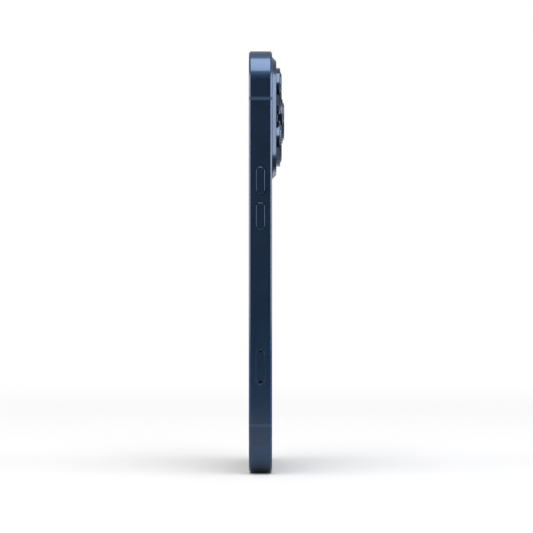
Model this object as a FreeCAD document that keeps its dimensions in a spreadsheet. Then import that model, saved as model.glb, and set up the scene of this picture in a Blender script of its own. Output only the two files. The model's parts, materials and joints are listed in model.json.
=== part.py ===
import FreeCAD, Part

# A smartphone with flat metal sides, a raised camera plateau, push buttons and a card tray.
# Millimetres. +Z is up: the phone stands on its bottom edge, with the screen facing -Y and the
# back facing +Y. The origin is the middle of the bottom edge, half way through the thickness.

import math
import os
import re

import Sketcher

doc = FreeCAD.newDocument("smartphone")
sheet = doc.addObject("Spreadsheet::Sheet", "sizes")

SIZES = [
    # the outside
    ("body_width", 71.5, "outside, side to side"),
    ("body_height", 148.0, "outside, bottom edge to top edge"),
    ("body_depth", 8.1, "front glass to back glass"),
    ("corner_radius", 11.0, "outline corners, seen from the front"),
    ("edge_radius", 0.75, "rounded edges of the metal band"),
    ("band_wall", 1.9, "thickness of the band round the inside"),
    ("band_lip", 0.85, "how far in the glass recess starts"),
    ("glass_gap", 0.05, "gap between a glass and the band"),
    ("glass_edge", 0.3, "rounding of the glass edges"),
    ("seal_thickness", 0.1, "adhesive gasket under each glass"),
    # antenna breaks in the band
    ("break_width", 1.07, "plastic break in the band"),
    ("break_inset", 17.3, "middle of a break to the nearer end of the phone"),
    # front
    ("front_glass_thickness", 0.7, "cover glass of the screen"),
    ("panel_thickness", 0.9, "display panel"),
    ("panel_inset", 2.15, "band side to the panel's edge"),
    ("panel_end_inset", 3.35, "band end to the panel's edge"),
    ("panel_radius", 8.6, "corners of the display panel"),
    ("plate_gap", 0.05, "behind the display panel"),
    ("plate_thickness", 0.5, "mid plate"),
    ("earpiece_length", 12.0, "slot of the earpiece"),
    ("earpiece_width", 0.7, "slot of the earpiece"),
    ("earpiece_inset", 2.65, "top of the phone to the middle of the slot"),
    ("selfie_inset", 7.7, "top of the phone to the front camera"),
    ("selfie_radius", 2.0, "barrel of the front camera"),
    ("selfie_size", 6.0, "housing of the front camera, each way"),
    # back glass and the camera plateau
    ("back_glass_thickness", 0.65, "flat part of the back glass"),
    ("plateau_rise", 1.5, "plateau above the back"),
    ("plateau_radius", 8.5, "base corners of the plateau"),
    ("plateau_side_inset", 2.0, "phone's side to the plateau's base"),
    ("plateau_top_inset", 2.0, "phone's top to the plateau's base"),
    ("plateau_edge", 0.3, "rounding of the plateau's top edge"),
    ("plateau_wall", 2.6, "base edge to the hollow under the plateau"),
    ("plateau_roof", 0.8, "glass over the hollow"),
    # cameras
    ("column_pitch", 16.05, "near lenses to the far lens, across the phone"),
    ("lens_gap", 2.3, "between the rings of the two near lenses"),
    ("ring_side_margin", 3.7, "plateau's side to a near ring"),
    ("ring_end_margin", 3.6, "plateau's end to a near ring"),
    ("far_lens_drop", 0.4, "far lens below the plateau's middle"),
    ("ring_radius", 8.15, "outer metal ring of a near lens"),
    ("ring_rise", 2.87, "near ring above the back"),
    ("lip_radius", 6.6, "raised inner lip of a near ring"),
    ("lip_rise", 3.2, "near lip above the back"),
    ("far_ring_radius", 8.0, "outer metal ring of the far lens"),
    ("far_ring_rise", 3.86, "far ring above the back"),
    ("far_lip_radius", 6.75, "raised inner lip of the far ring"),
    ("far_lip_rise", 4.2, "far lip above the back"),
    ("ring_foot", 0.5, "foot of the far ring above the plateau"),
    ("ring_foot_radius", 8.3, "foot of the far ring"),
    ("ring_stem_radius", 7.2, "part of a ring that passes through the glass"),
    ("ring_bore", 5.6, "clear way for the light"),
    ("ring_chamfer", 0.3, "bevel on a ring's edge"),
    ("lip_wall", 0.5, "metal round the cover glass"),
    ("cover_proud", 0.17, "cover glass above its lip"),
    ("cover_thickness", 0.8, "sapphire cover of a lens"),
    ("module_size", 14.6, "camera housing, each way"),
    ("module_top", 4.3, "camera housing's top, from the phone's middle"),
    ("module_floor", 0.8, "sensor board at the bottom of a housing"),
    ("barrel_radius", 4.9, "moving lens barrel"),
    ("barrel_length", 4.8, "moving lens barrel"),
    ("barrel_gap", 0.08, "between a barrel and its housing"),
    ("barrel_rest", 0.5, "barrel above the sensor board at rest"),
    ("bracket_thickness", 0.3, "steel frame over the camera housings"),
    ("bracket_margin", 0.4, "hollow's edge to the bracket's edge"),
    ("window_radius", 2.95, "flash and depth sensor windows"),
    ("flash_gap", 2.65, "far ring's foot to the flash window"),
    ("depth_gap", 2.05, "far ring's foot to the depth sensor window"),
    ("rear_board_size", 7.0, "flash board and depth sensor, each way"),
    # push buttons
    ("button_length", 9.66, "cap of a volume button"),
    ("button_width", 3.1, "cap of every button"),
    ("button_proud", 0.25, "cap above the band"),
    ("button_gap", 0.1, "cap to its opening, all round"),
    ("button_travel", 0.2, "stroke of a button"),
    ("button_crown", 0.25, "rounding of a cap's edge"),
    ("volume_up_height", 102.2, "middle of the upper volume button"),
    ("volume_down_height", 89.8, "middle of the lower volume button"),
    ("side_button_length", 15.0, "cap of the side button"),
    ("side_button_height", 97.0, "middle of the side button"),
    ("flange_margin", 0.3, "flange past the cap, all round"),
    ("flange_thickness", 0.5, "flange that keeps a button in"),
    ("flange_gap", 0.03, "flange to the band at rest"),
    ("nub_radius", 0.7, "nub that presses the switch"),
    ("nub_length", 0.1, "nub that presses the switch"),
    ("switch_gap", 0.02, "left between nub and switch at the end of the stroke"),
    ("switch_size", 3.0, "switch body, each way"),
    ("switch_thickness", 0.5, "switch body"),
    ("switch_plate", 0.3, "steel plate behind the switches"),
    ("switch_plate_margin", 2.5, "plate past the outer switches"),
    # card tray and its ejector
    ("tray_height", 37.65, "middle of the tray's cap"),
    ("tray_length", 12.2, "cap of the tray"),
    ("tray_width", 2.9, "cap of the tray"),
    ("tray_gap", 0.05, "cap to its slot, all round"),
    ("tray_cap_thickness", 1.75, "cap of the tray"),
    ("tray_hole_offset", 5.27, "cap's middle to each small hole"),
    ("tray_hole_radius", 0.475, "eject hole, and its blind twin"),
    ("tray_blind_depth", 0.9, "blind hole"),
    ("tray_shift", 0.45, "tray plate above the cap's middle"),
    ("tray_plate_width", 9.9, "tray plate, bottom to top"),
    ("tray_plate_thickness", 1.1, "tray plate"),
    ("tray_plate_length", 16.05, "tray plate behind the cap"),
    ("card_length", 12.3, "access card"),
    ("card_width", 8.8, "access card"),
    ("card_thickness", 0.67, "access card"),
    ("card_gap", 0.1, "card to its pocket, all round"),
    ("card_inset", 1.9, "tray cap to the card's pocket"),
    ("card_ledge", 0.9, "ledge under the card's edges"),
    ("reader_wall", 0.6, "side walls of the card reader"),
    ("reader_roof", 0.2, "top of the card reader"),
    ("reader_clearance", 0.07, "tray plate to the reader"),
    ("reader_margin", 0.65, "inside of the reader past the eject rod"),
    ("reader_back", 0.4, "closed end of the reader"),
    ("eject_stroke", 1.6, "how far the pin pushes the rod"),
    ("rod_radius", 0.6, "eject rod"),
    ("rod_setback", 0.3, "tray cap to the end of the rod"),
    ("lever_arm", 3.05, "pivot to each tip of the lever"),
    ("lever_tip_radius", 0.5, "tips of the lever"),
    ("lever_bar", 0.6, "width of the lever's bar"),
    ("lever_hub_radius", 0.9, "round the pivot"),
    ("lever_thickness", 0.8, "lever and kicker"),
    ("pivot_radius", 0.42, "pin that the lever turns on"),
    ("pivot_gap", 0.03, "pin to the lever's hole"),
    ("tip_gap", 0.05, "lever tips to what they touch"),
    ("kicker_width", 2.8, "block between the lever and the tray"),
    ("kicker_offset", 0.6, "lever tip's middle to the kicker's lower edge"),
    ("kicker_length", 2.9, "block between the lever and the tray"),
    # boards, battery and charging
    ("board_thickness", 0.8, "main board"),
    ("board_left", 8.0, "main board's inner edge"),
    ("board_right", 31.0, "main board's outer edge"),
    ("board_bottom", 26.0, "main board's lower edge"),
    ("board_top", 103.0, "main board's upper edge"),
    ("shield_height", 1.5, "steel can over the chips"),
    ("shield_wall", 0.2, "steel can over the chips"),
    ("shield_bottom", 50.0, "can's lower edge"),
    ("shield_length", 34.0, "can, bottom to top"),
    ("shield_margin", 2.2, "board's edge to the can"),
    ("battery_width", 37.0, "battery"),
    ("battery_length", 82.0, "battery"),
    ("battery_thickness", 3.7, "battery"),
    ("battery_left", 31.0, "battery's outer edge"),
    ("battery_bottom", 22.0, "battery's lower edge"),
    ("battery_radius", 2.0, "battery's corners"),
    ("coil_height", 68.0, "middle of the charging coil"),
    ("coil_outer", 22.0, "charging coil"),
    ("coil_inner", 12.0, "charging coil"),
    ("coil_thickness", 0.35, "charging coil"),
    ("coil_gap", 0.3, "back glass to the coil"),
    ("magnet_outer", 27.5, "ring of magnets"),
    ("magnet_width", 3.6, "ring of magnets"),
    ("magnet_thickness", 0.6, "ring of magnets"),
    ("magnet_count", 18, "magnets in the ring"),
    ("magnet_angle", 17.0, "arc of one magnet, in degrees"),
    # bottom edge
    ("port_width", 8.94, "mouth of the charging port"),
    ("port_depth", 3.16, "mouth of the charging port"),
    ("port_length", 6.2, "plug space of the charging port"),
    ("port_wall", 0.3, "shell of the charging port"),
    ("port_back", 0.8, "closed end of the charging port"),
    ("tongue_width", 6.69, "contact tongue in the port"),
    ("tongue_thickness", 0.7, "contact tongue in the port"),
    ("tongue_recess", 0.7, "bottom edge to the tip of the tongue"),
    ("ear_width", 4.0, "screw ear each side of the port"),
    ("ear_length", 2.2, "screw ear, along the screw"),
    ("screw_spacing", 8.5, "port's middle to each bottom screw"),
    ("screw_head_radius", 0.8, "bottom screws"),
    ("screw_head_height", 0.6, "bottom screws"),
    ("screw_sink", 0.3, "screw head below the bottom edge"),
    ("screw_radius", 0.5, "threaded part of a bottom screw"),
    ("screw_gap", 0.05, "head to its counterbore"),
    ("vent_radius", 0.75, "sound holes"),
    ("vent_pitch", 2.6, "between sound holes"),
    ("vent_start", 13.0, "port's middle to the first sound hole"),
    ("vent_count", 5, "sound holes each side"),
    ("mesh_thickness", 0.15, "dust mesh behind the sound holes"),
    ("mesh_depth", 2.4, "dust mesh, front to back"),
    ("mesh_margin", 1.2, "dust mesh past the outer holes"),
    ("speaker_left", 11.5, "loudspeaker's inner edge"),
    ("speaker_right", 26.0, "loudspeaker's outer edge"),
    ("speaker_top", 19.0, "loudspeaker's upper edge"),
    ("speaker_depth", 4.6, "loudspeaker, front to back"),
    ("haptic_left", 30.0, "haptic motor's outer edge"),
    ("haptic_right", 11.5, "haptic motor's inner edge"),
    ("haptic_bottom", 5.5, "haptic motor's lower edge"),
    ("haptic_top", 19.5, "haptic motor's upper edge"),
    ("haptic_depth", 4.5, "haptic motor, front to back"),
    ("haptic_wall", 0.4, "haptic motor's case"),
    ("haptic_gap", 0.1, "moving mass to the case"),
    ("haptic_room", 2.1, "space for the spring at each end"),
    ("spring_strip", 0.25, "spring steel strip"),
    # top edge and small screws
    ("earbox_width", 18.0, "earpiece speaker"),
    ("earbox_length", 3.6, "earpiece speaker"),
    ("earbox_depth", 3.4, "earpiece speaker"),
    ("plate_screw_head_radius", 0.9, "screws of the main board"),
    ("plate_screw_head_height", 0.35, "screws of the main board"),
    ("plate_screw_radius", 0.5, "screws of the main board"),
    ("plate_screw_inset", 1.3, "board's edge to a screw"),
]

for row, (alias, value, note) in enumerate(SIZES, start=1):
    sheet.set(f"A{row}", alias)
    sheet.set(f"B{row}", str(value))
    sheet.set(f"C{row}", note)
    sheet.setAlias(f"B{row}", alias)
doc.recompute()

ALIASES = {alias for alias, value, note in SIZES}

# Places that several pieces share, each worked out from the sheet.
HALF_WIDTH = "body_width / 2"
HALF_DEPTH = "body_depth / 2"
CAVITY_SIDE = f"({HALF_WIDTH} - band_wall)"
CAVITY_TOP = "(body_height - band_wall)"
FRONT_LEDGE = f"(-{HALF_DEPTH} + front_glass_thickness + seal_thickness)"
BACK_LEDGE = f"({HALF_DEPTH} - back_glass_thickness - seal_thickness)"
PANEL_FRONT = f"(-{HALF_DEPTH} + front_glass_thickness)"
PLATE_FRONT = f"({PANEL_FRONT} + panel_thickness + plate_gap)"
PLATE_BACK = f"({PLATE_FRONT} + plate_thickness)"
LENS_INSET = "(ring_radius + ring_side_margin)"
LENS_PITCH = "(2 * ring_radius + lens_gap)"
PLATEAU_WIDTH = f"(column_pitch + 2 * {LENS_INSET})"
PLATEAU_HEIGHT = f"({LENS_PITCH} + 2 * (ring_radius + ring_end_margin))"
PLATEAU_X = f"({HALF_WIDTH} - plateau_side_inset - {PLATEAU_WIDTH} / 2)"
PLATEAU_Z = f"(body_height - plateau_top_inset - {PLATEAU_HEIGHT} / 2)"
PLATEAU_TOP = f"({HALF_DEPTH} + plateau_rise)"
HOLLOW_TOP = f"({PLATEAU_TOP} - plateau_roof)"
NEAR_LENS_X = f"({PLATEAU_X} + column_pitch / 2)"
FAR_LENS_X = f"({PLATEAU_X} - column_pitch / 2)"
UPPER_LENS_Z = f"({PLATEAU_Z} + {LENS_PITCH} / 2)"
LOWER_LENS_Z = f"({PLATEAU_Z} - {LENS_PITCH} / 2)"
FAR_LENS_Z = f"({PLATEAU_Z} - far_lens_drop)"
FLASH_Z = f"({FAR_LENS_Z} + ring_foot_radius + flash_gap + window_radius)"
DEPTH_Z = f"({FAR_LENS_Z} - ring_foot_radius - depth_gap - window_radius)"
TRAY_CAP_BACK = f"({HALF_WIDTH} - tray_cap_thickness)"
TRAY_Z = "(tray_height + tray_shift)"
TRAY_END = f"({TRAY_CAP_BACK} - tray_plate_length)"
CARD_X = f"({TRAY_CAP_BACK} - card_inset - card_gap - card_length / 2)"
ROD_Z = "(tray_height - tray_hole_offset)"
LEVER_TILT = "asin(eject_stroke / (2 * lever_arm))"
LEVER_RISE = f"(lever_arm * cos({LEVER_TILT}))"
KICKER_BACK = f"({TRAY_END} - tip_gap - kicker_length)"
PIVOT_X = f"({KICKER_BACK} - tip_gap - lever_tip_radius + eject_stroke / 2)"
PIVOT_Z = f"({ROD_Z} + {LEVER_RISE})"
ROD_END = f"({PIVOT_X} + eject_stroke / 2 + lever_tip_radius + tip_gap)"
EARPIECE_Z = "(body_height - earpiece_inset)"
SELFIE_Z = "(body_height - selfie_inset)"
COIL_BACK = f"({BACK_LEDGE} + seal_thickness - coil_gap)"

# For each axis: the origin plane that it is normal to, and whether the plane's normal is +axis.
PLANES = {"x": ("YZ_Plane", True), "y": ("XZ_Plane", False), "z": ("XY_Plane", True)}
ORIGIN = (-1, 1)
QUARTER_TURN = math.pi / 2
PLATEAU_SLOPE = 45  # degrees from upright
NEAR = 1e-4  # millimetres


def bound(expression):
    """The expression with each of the sheet's aliases written as a reference to the sheet."""

    def refer(word):
        return f"sizes.{word[0]}" if word[0] in ALIASES else word[0]

    return re.sub(r"[a-z_]+", refer, expression)


def number(expression):
    """What an expression comes to now, for a sketch's first guess."""
    return float(sheet.evalExpression(bound(expression)))


def new_piece(label, x="0", y="0", z="0"):
    """An empty PartDesign body, whose own origin is placed at (x, y, z)."""
    body = doc.addObject("PartDesign::Body", label)
    body.Label = label
    body.setExpression("Placement.Base.x", bound(x))
    body.setExpression("Placement.Base.y", bound(y))
    body.setExpression("Placement.Base.z", bound(z))
    return body


def sketch_on(body, axis, level):
    """A sketch square to an axis, at a level along it. Its u and v are the other two axes, in order."""
    role, normal_is_plus = PLANES[axis]
    plane = next(f for f in body.Origin.OriginFeatures if f.Role == role)
    sketch = body.newObject("Sketcher::SketchObject", f"{body.Name}_outline")
    sketch.AttachmentSupport = [(plane, "")]
    sketch.MapMode = "FlatFace"
    sign = "" if normal_is_plus else "-"
    sketch.setExpression("AttachmentOffset.Base.z", bound(f"{sign}({level})"))
    return sketch


def dimension(sketch, kind, places, expression):
    """A named size of a sketch, bound to the sheet."""
    value = number(expression)
    index = sketch.addConstraint(Sketcher.Constraint(kind, *places, value))
    sketch.setExpression(f"Constraints[{index}]", bound(expression))


def fix_point(sketch, geometry, end, u, v):
    dimension(sketch, "DistanceX", (*ORIGIN, geometry, end), u)
    dimension(sketch, "DistanceY", (*ORIGIN, geometry, end), v)


def line(sketch, start, end):
    return sketch.addGeometry(Part.LineSegment(FreeCAD.Vector(*start, 0), FreeCAD.Vector(*end, 0)))


def arc(sketch, centre, radius, quarter_from, quarters):
    """An arc that starts at a number of quarter turns from +u and runs on for more of them."""
    circle = Part.Circle(FreeCAD.Vector(*centre, 0), FreeCAD.Vector(0, 0, 1), radius)
    start = quarter_from * QUARTER_TURN
    return sketch.addGeometry(Part.ArcOfCircle(circle, start, start + quarters * QUARTER_TURN))


def disc(sketch, u, v, radius):
    """A circle."""
    centre = FreeCAD.Vector(number(u), number(v), 0)
    circle = sketch.addGeometry(Part.Circle(centre, FreeCAD.Vector(0, 0, 1), number(radius)))
    dimension(sketch, "Radius", (circle,), radius)
    fix_point(sketch, circle, 3, u, v)


def polygon(sketch, points):
    """A closed outline of straight lines through the given corners."""
    corners = [(number(u), number(v)) for u, v in points]
    first = sketch.GeometryCount
    count = len(points)
    for i in range(count):
        line(sketch, corners[i], corners[(i + 1) % count])
    for i in range(count):
        sketch.addConstraint(Sketcher.Constraint("Coincident", first + i, 2, first + (i + 1) % count, 1))
    for i, (u, v) in enumerate(points):
        fix_point(sketch, first + i, 1, u, v)


def rectangle(sketch, u, v, width, height):
    """A rectangle centred on (u, v)."""
    left, right = f"{u} - ({width}) / 2", f"{u} + ({width}) / 2"
    low, high = f"{v} - ({height}) / 2", f"{v} + ({height}) / 2"
    polygon(sketch, [(left, low), (right, low), (right, high), (left, high)])


def span(sketch, left, right, low, high):
    """A rectangle between two places each way."""
    polygon(sketch, [(left, low), (right, low), (right, high), (left, high)])


def join_smoothly(sketch, lines, arcs):
    """Ties each line's end to the next arc's start and each arc's end to the next line, tangent."""
    for i, (straight, bend) in enumerate(zip(lines, arcs)):
        following = lines[(i + 1) % len(lines)]
        sketch.addConstraint(Sketcher.Constraint("Tangent", straight, 2, bend, 1))
        sketch.addConstraint(Sketcher.Constraint("Tangent", bend, 2, following, 1))


def rounded(sketch, u, v, width, height, radius):
    """A rectangle with equal round corners, centred on (u, v)."""
    left, right = f"{u} - ({width}) / 2", f"{u} + ({width}) / 2"
    low, high = f"{v} - ({height}) / 2", f"{v} + ({height}) / 2"
    x0, x1, z0, z1, r = (number(e) for e in (left, right, low, high, radius))
    lines = [
        line(sketch, (x0 + r, z0), (x1 - r, z0)),
        line(sketch, (x1, z0 + r), (x1, z1 - r)),
        line(sketch, (x1 - r, z1), (x0 + r, z1)),
        line(sketch, (x0, z1 - r), (x0, z0 + r)),
    ]
    arcs = [
        arc(sketch, (x1 - r, z0 + r), r, 3, 1),
        arc(sketch, (x1 - r, z1 - r), r, 0, 1),
        arc(sketch, (x0 + r, z1 - r), r, 1, 1),
        arc(sketch, (x0 + r, z0 + r), r, 2, 1),
    ]
    join_smoothly(sketch, lines, arcs)
    for straight, direction in zip(lines, ("Horizontal", "Vertical", "Horizontal", "Vertical")):
        sketch.addConstraint(Sketcher.Constraint(direction, straight))
    for bend in arcs[1:]:
        sketch.addConstraint(Sketcher.Constraint("Equal", arcs[0], bend))
    dimension(sketch, "Radius", (arcs[0],), radius)
    dimension(sketch, "DistanceY", (*ORIGIN, lines[0], 1), low)
    dimension(sketch, "DistanceX", (*ORIGIN, lines[1], 1), right)
    dimension(sketch, "DistanceY", (*ORIGIN, lines[2], 1), high)
    dimension(sketch, "DistanceX", (*ORIGIN, lines[3], 1), left)


def upright_pill(sketch, u, v, width, length):
    """A slot outline with round ends, its length along v."""
    half = f"({width}) / 2"
    low, high = f"{v} - ({length}) / 2 + {half}", f"{v} + ({length}) / 2 - {half}"
    x, r, z0, z1 = (number(e) for e in (u, half, low, high))
    lines = [line(sketch, (x + r, z0), (x + r, z1)), line(sketch, (x - r, z1), (x - r, z0))]
    arcs = [arc(sketch, (x, z1), r, 0, 2), arc(sketch, (x, z0), r, 2, 2)]
    join_smoothly(sketch, lines, arcs)
    for straight in lines:
        sketch.addConstraint(Sketcher.Constraint("Vertical", straight))
    dimension(sketch, "DistanceY", (*ORIGIN, arcs[0], 3), high)
    dimension(sketch, "DistanceY", (*ORIGIN, arcs[1], 3), low)
    dimension(sketch, "DistanceX", (*ORIGIN, lines[0], 1), f"{u} + {half}")
    dimension(sketch, "DistanceX", (*ORIGIN, lines[1], 1), f"{u} - {half}")


def level_pill(sketch, u, v, length, width):
    """A slot outline with round ends, its length along u."""
    half = f"({width}) / 2"
    left, right = f"{u} - ({length}) / 2 + {half}", f"{u} + ({length}) / 2 - {half}"
    x0, x1, z, r = (number(e) for e in (left, right, v, half))
    lines = [line(sketch, (x0, z - r), (x1, z - r)), line(sketch, (x1, z + r), (x0, z + r))]
    arcs = [arc(sketch, (x1, z), r, 3, 2), arc(sketch, (x0, z), r, 1, 2)]
    join_smoothly(sketch, lines, arcs)
    for straight in lines:
        sketch.addConstraint(Sketcher.Constraint("Horizontal", straight))
    dimension(sketch, "DistanceX", (*ORIGIN, arcs[0], 3), right)
    dimension(sketch, "DistanceX", (*ORIGIN, arcs[1], 3), left)
    dimension(sketch, "DistanceY", (*ORIGIN, lines[0], 1), f"{v} - {half}")
    dimension(sketch, "DistanceY", (*ORIGIN, lines[1], 1), f"{v} + {half}")


def grow(body, axis, start, end, outline, *sizes):
    """Adds material from start to end along an axis, with the outline that a function draws."""
    sketch = sketch_on(body, axis, start)
    outline(sketch, *sizes)
    pad = body.newObject("PartDesign::Pad", f"{body.Name}_pad")
    pad.Profile = sketch
    pad.Reversed = not PLANES[axis][1]
    pad.setExpression("Length", bound(f"({end}) - ({start})"))
    doc.recompute()
    return pad


def carve(body, axis, start, end, outline, *sizes):
    """Cuts from start to end along an axis, and stops if that takes nothing away."""
    before = body.Shape.Volume
    sketch = sketch_on(body, axis, start)
    outline(sketch, *sizes)
    pocket = body.newObject("PartDesign::Pocket", f"{body.Name}_pocket")
    pocket.Profile = sketch
    pocket.Reversed = PLANES[axis][1]
    pocket.setExpression("Length", bound(f"({end}) - ({start})"))
    doc.recompute()
    if body.Shape.Volume >= before:
        raise RuntimeError(f"{body.Label}: a cut along {axis} from {start} removes nothing")
    return pocket


def repeat_along_x(body, feature, pitch, count, reverse):
    """Repeats a feature in a straight row along X."""
    pattern = body.newObject("PartDesign::LinearPattern", f"{body.Name}_row")
    pattern.Originals = [feature]
    axis = next(f for f in body.Origin.OriginFeatures if f.Role == "X_Axis")
    pattern.Direction = (axis, [""])
    pattern.Reversed = reverse
    pattern.setExpression("Length", bound(f"{pitch} * ({count} - 1)"))
    pattern.setExpression("Occurrences", bound(count))
    body.Tip = pattern
    doc.recompute()


def turn(body, points):
    """A solid of revolution about the Y axis, from corners given as (along Y, radius)."""
    sketch = sketch_on(body, "x", "0")
    polygon(sketch, points)
    revolution = body.newObject("PartDesign::Revolution", f"{body.Name}_turning")
    revolution.Profile = sketch
    revolution.ReferenceAxis = (sketch, ["H_Axis"])
    revolution.Angle = 360
    doc.recompute()
    return revolution


def edges_where(body, test):
    """Names of the last feature's edges whose every end and middle passes a test of its point."""
    names = []
    for i, edge in enumerate(body.Tip.Shape.Edges, start=1):
        middle = edge.valueAt((edge.FirstParameter + edge.LastParameter) / 2)
        points = [vertex.Point for vertex in edge.Vertexes] + [middle]
        if all(test(point) for point in points):
            names.append(f"Edge{i}")
    return names


def round_edges(body, radius, test, kind="PartDesign::Fillet", size_name="Radius"):
    """Rounds (or bevels) every edge that passes the test."""
    names = edges_where(body, test)
    if not names:
        raise RuntimeError(f"{body.Label}: there is no edge to round")
    base = body.Tip
    dressing = body.newObject(kind, f"{body.Name}_edge")
    dressing.Base = (base, names)
    dressing.setExpression(size_name, bound(radius))
    doc.recompute()
    body.Tip = dressing
    return dressing


def near(value, expression):
    """Whether a coordinate is where an expression says."""
    return abs(value - number(expression)) < NEAR


# The metal band is cut into four segments by plastic breaks, and every one of these eight pieces is
# a length of the same ring.

BREAK_Z = {"lower": "break_inset", "upper": "(body_height - break_inset)"}
LOWER_BREAK = (f"{BREAK_Z['lower']} - break_width / 2", f"{BREAK_Z['lower']} + break_width / 2")
UPPER_BREAK = (f"{BREAK_Z['upper']} - break_width / 2", f"{BREAK_Z['upper']} + break_width / 2")


def outer_outline(sketch):
    rounded(sketch, "0", "body_height / 2", "body_width", "body_height", "corner_radius")


def inset_outline(sketch, inset):
    """The phone's outline, the same distance in all round."""
    rounded(
        sketch, "0", "body_height / 2", f"body_width - 2 * ({inset})",
        f"body_height - 2 * ({inset})", f"corner_radius - ({inset})",
    )


def band_ring(label):
    """The whole band: a ring with rounded outer edges and a recess for each glass."""
    ring = new_piece(label)
    grow(ring, "y", f"-{HALF_DEPTH}", HALF_DEPTH, outer_outline)
    round_edges(ring, "edge_radius", lambda p: near(abs(p.y), HALF_DEPTH))
    carve(ring, "y", f"-{HALF_DEPTH}", HALF_DEPTH, inset_outline, "band_wall")
    carve(ring, "y", f"-{HALF_DEPTH}", FRONT_LEDGE, inset_outline, "band_lip")
    carve(ring, "y", BACK_LEDGE, HALF_DEPTH, inset_outline, "band_lip")
    return ring


def keep_between(piece, low=None, high=None, side=0):
    """Cuts away what is below low, above high, or on the other side of the middle."""
    far_left, far_right = "-body_width", "body_width"
    below, above = "-1", "body_height + 1"
    depth = (f"-{HALF_DEPTH}", HALF_DEPTH)
    if low:
        carve(piece, "y", *depth, span, far_left, far_right, below, low)
    if high:
        carve(piece, "y", *depth, span, far_left, far_right, high, above)
    if side:
        left, right = (far_left, "0") if side > 0 else ("0", far_right)
        carve(piece, "y", *depth, span, left, right, below, above)


def make_band_top():
    band = band_ring("band_top")
    keep_between(band, low=UPPER_BREAK[1])


def make_band_bottom():
    """The lower arch, with the port's mouth, two counterbored screw holes and the sound holes."""
    band = band_ring("band_bottom")
    keep_between(band, high=LOWER_BREAK[0])
    carve(band, "z", "0", "band_wall", level_pill, "0", "0", "port_width", "port_depth")
    for side in ("-", ""):
        place = f"{side}screw_spacing"
        counterbore = "screw_head_radius + screw_gap"
        carve(band, "z", "0", "screw_sink + screw_head_height", disc, place, "0", counterbore)
        carve(band, "z", "0", "band_wall", disc, place, "0", "screw_radius")
        first = carve(band, "z", "0", "band_wall", disc, f"{side}vent_start", "0", "vent_radius")
        repeat_along_x(band, first, "vent_pitch", "vent_count", reverse=bool(side))


def make_rail_right():
    """The straight side that holds the volume buttons and the card tray."""
    rail = band_ring("rail_right")
    keep_between(rail, low=LOWER_BREAK[1], high=UPPER_BREAK[0], side=1)
    for height in ("volume_up_height", "volume_down_height"):
        carve(
            rail, "x", CAVITY_SIDE, HALF_WIDTH, upright_pill, "0", height,
            "button_width + 2 * button_gap", "button_length + 2 * button_gap",
        )
    carve(
        rail, "x", CAVITY_SIDE, HALF_WIDTH, upright_pill, "0", "tray_height",
        "tray_width + 2 * tray_gap", "tray_length + 2 * tray_gap",
    )


def make_rail_left():
    """The straight side that holds the side button."""
    rail = band_ring("rail_left")
    keep_between(rail, low=LOWER_BREAK[1], high=UPPER_BREAK[0], side=-1)
    carve(
        rail, "x", f"-{HALF_WIDTH}", f"-{CAVITY_SIDE}", upright_pill, "0", "side_button_height",
        "button_width + 2 * button_gap", "side_button_length + 2 * button_gap",
    )


def make_antenna_breaks():
    """Four plastic pieces that fill the gaps between the band's segments."""
    for level, (low, high) in (("lower", LOWER_BREAK), ("upper", UPPER_BREAK)):
        for side, sign in (("right", 1), ("left", -1)):
            piece = band_ring(f"antenna_break_{level}_{side}")
            keep_between(piece, low=low, high=high, side=sign)


# The front: glass, seal, panel and the plate that everything inside is fixed to.


def glass_outline(sketch):
    inset_outline(sketch, "band_lip + glass_gap")


def make_front_glass():
    glass = new_piece("front_glass")
    grow(glass, "y", f"-{HALF_DEPTH}", PANEL_FRONT, glass_outline)
    round_edges(glass, "glass_edge", lambda p: near(p.y, f"-{HALF_DEPTH}"))
    carve(
        glass, "y", f"-{HALF_DEPTH}", PANEL_FRONT, level_pill, "0", EARPIECE_Z,
        "earpiece_length", "earpiece_width",
    )


def make_seal(label, start, end):
    """A thin frame of adhesive on the band's ledge."""
    seal = new_piece(label)
    grow(seal, "y", start, end, glass_outline)
    carve(seal, "y", start, end, inset_outline, "band_wall")


def make_display_panel():
    panel = new_piece("display_panel")
    grow(
        panel, "y", PANEL_FRONT, f"{PANEL_FRONT} + panel_thickness", rounded, "0", "body_height / 2",
        "body_width - 2 * panel_inset", "body_height - 2 * panel_end_inset", "panel_radius",
    )
    carve(
        panel, "y", PANEL_FRONT, f"{PANEL_FRONT} + panel_thickness", disc, "0", SELFIE_Z,
        "selfie_radius + glass_gap",
    )


def make_mid_plate():
    """The plate welded across the band, with ways through for the front camera and earpiece."""
    plate = new_piece("mid_plate")
    grow(plate, "y", PLATE_FRONT, PLATE_BACK, inset_outline, "band_wall")
    carve(plate, "y", PLATE_FRONT, PLATE_BACK, disc, "0", SELFIE_Z, "selfie_radius + glass_gap")
    carve(
        plate, "y", PLATE_FRONT, PLATE_BACK, level_pill, "0", EARPIECE_Z,
        "earpiece_length", "earpiece_width",
    )
    for x, z in board_screw_places():
        carve(plate, "y", PLATE_FRONT, PLATE_BACK, disc, x, z, "plate_screw_radius")


def make_front_camera():
    camera = new_piece("front_camera")
    grow(
        camera, "y", PLATE_BACK, f"{PLATE_BACK} + earbox_depth", rectangle, "0",
        f"{SELFIE_Z} - selfie_size / 4", "selfie_size", "selfie_size",
    )
    grow(camera, "y", PANEL_FRONT, PLATE_BACK, disc, "0", SELFIE_Z, "selfie_radius")


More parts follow.
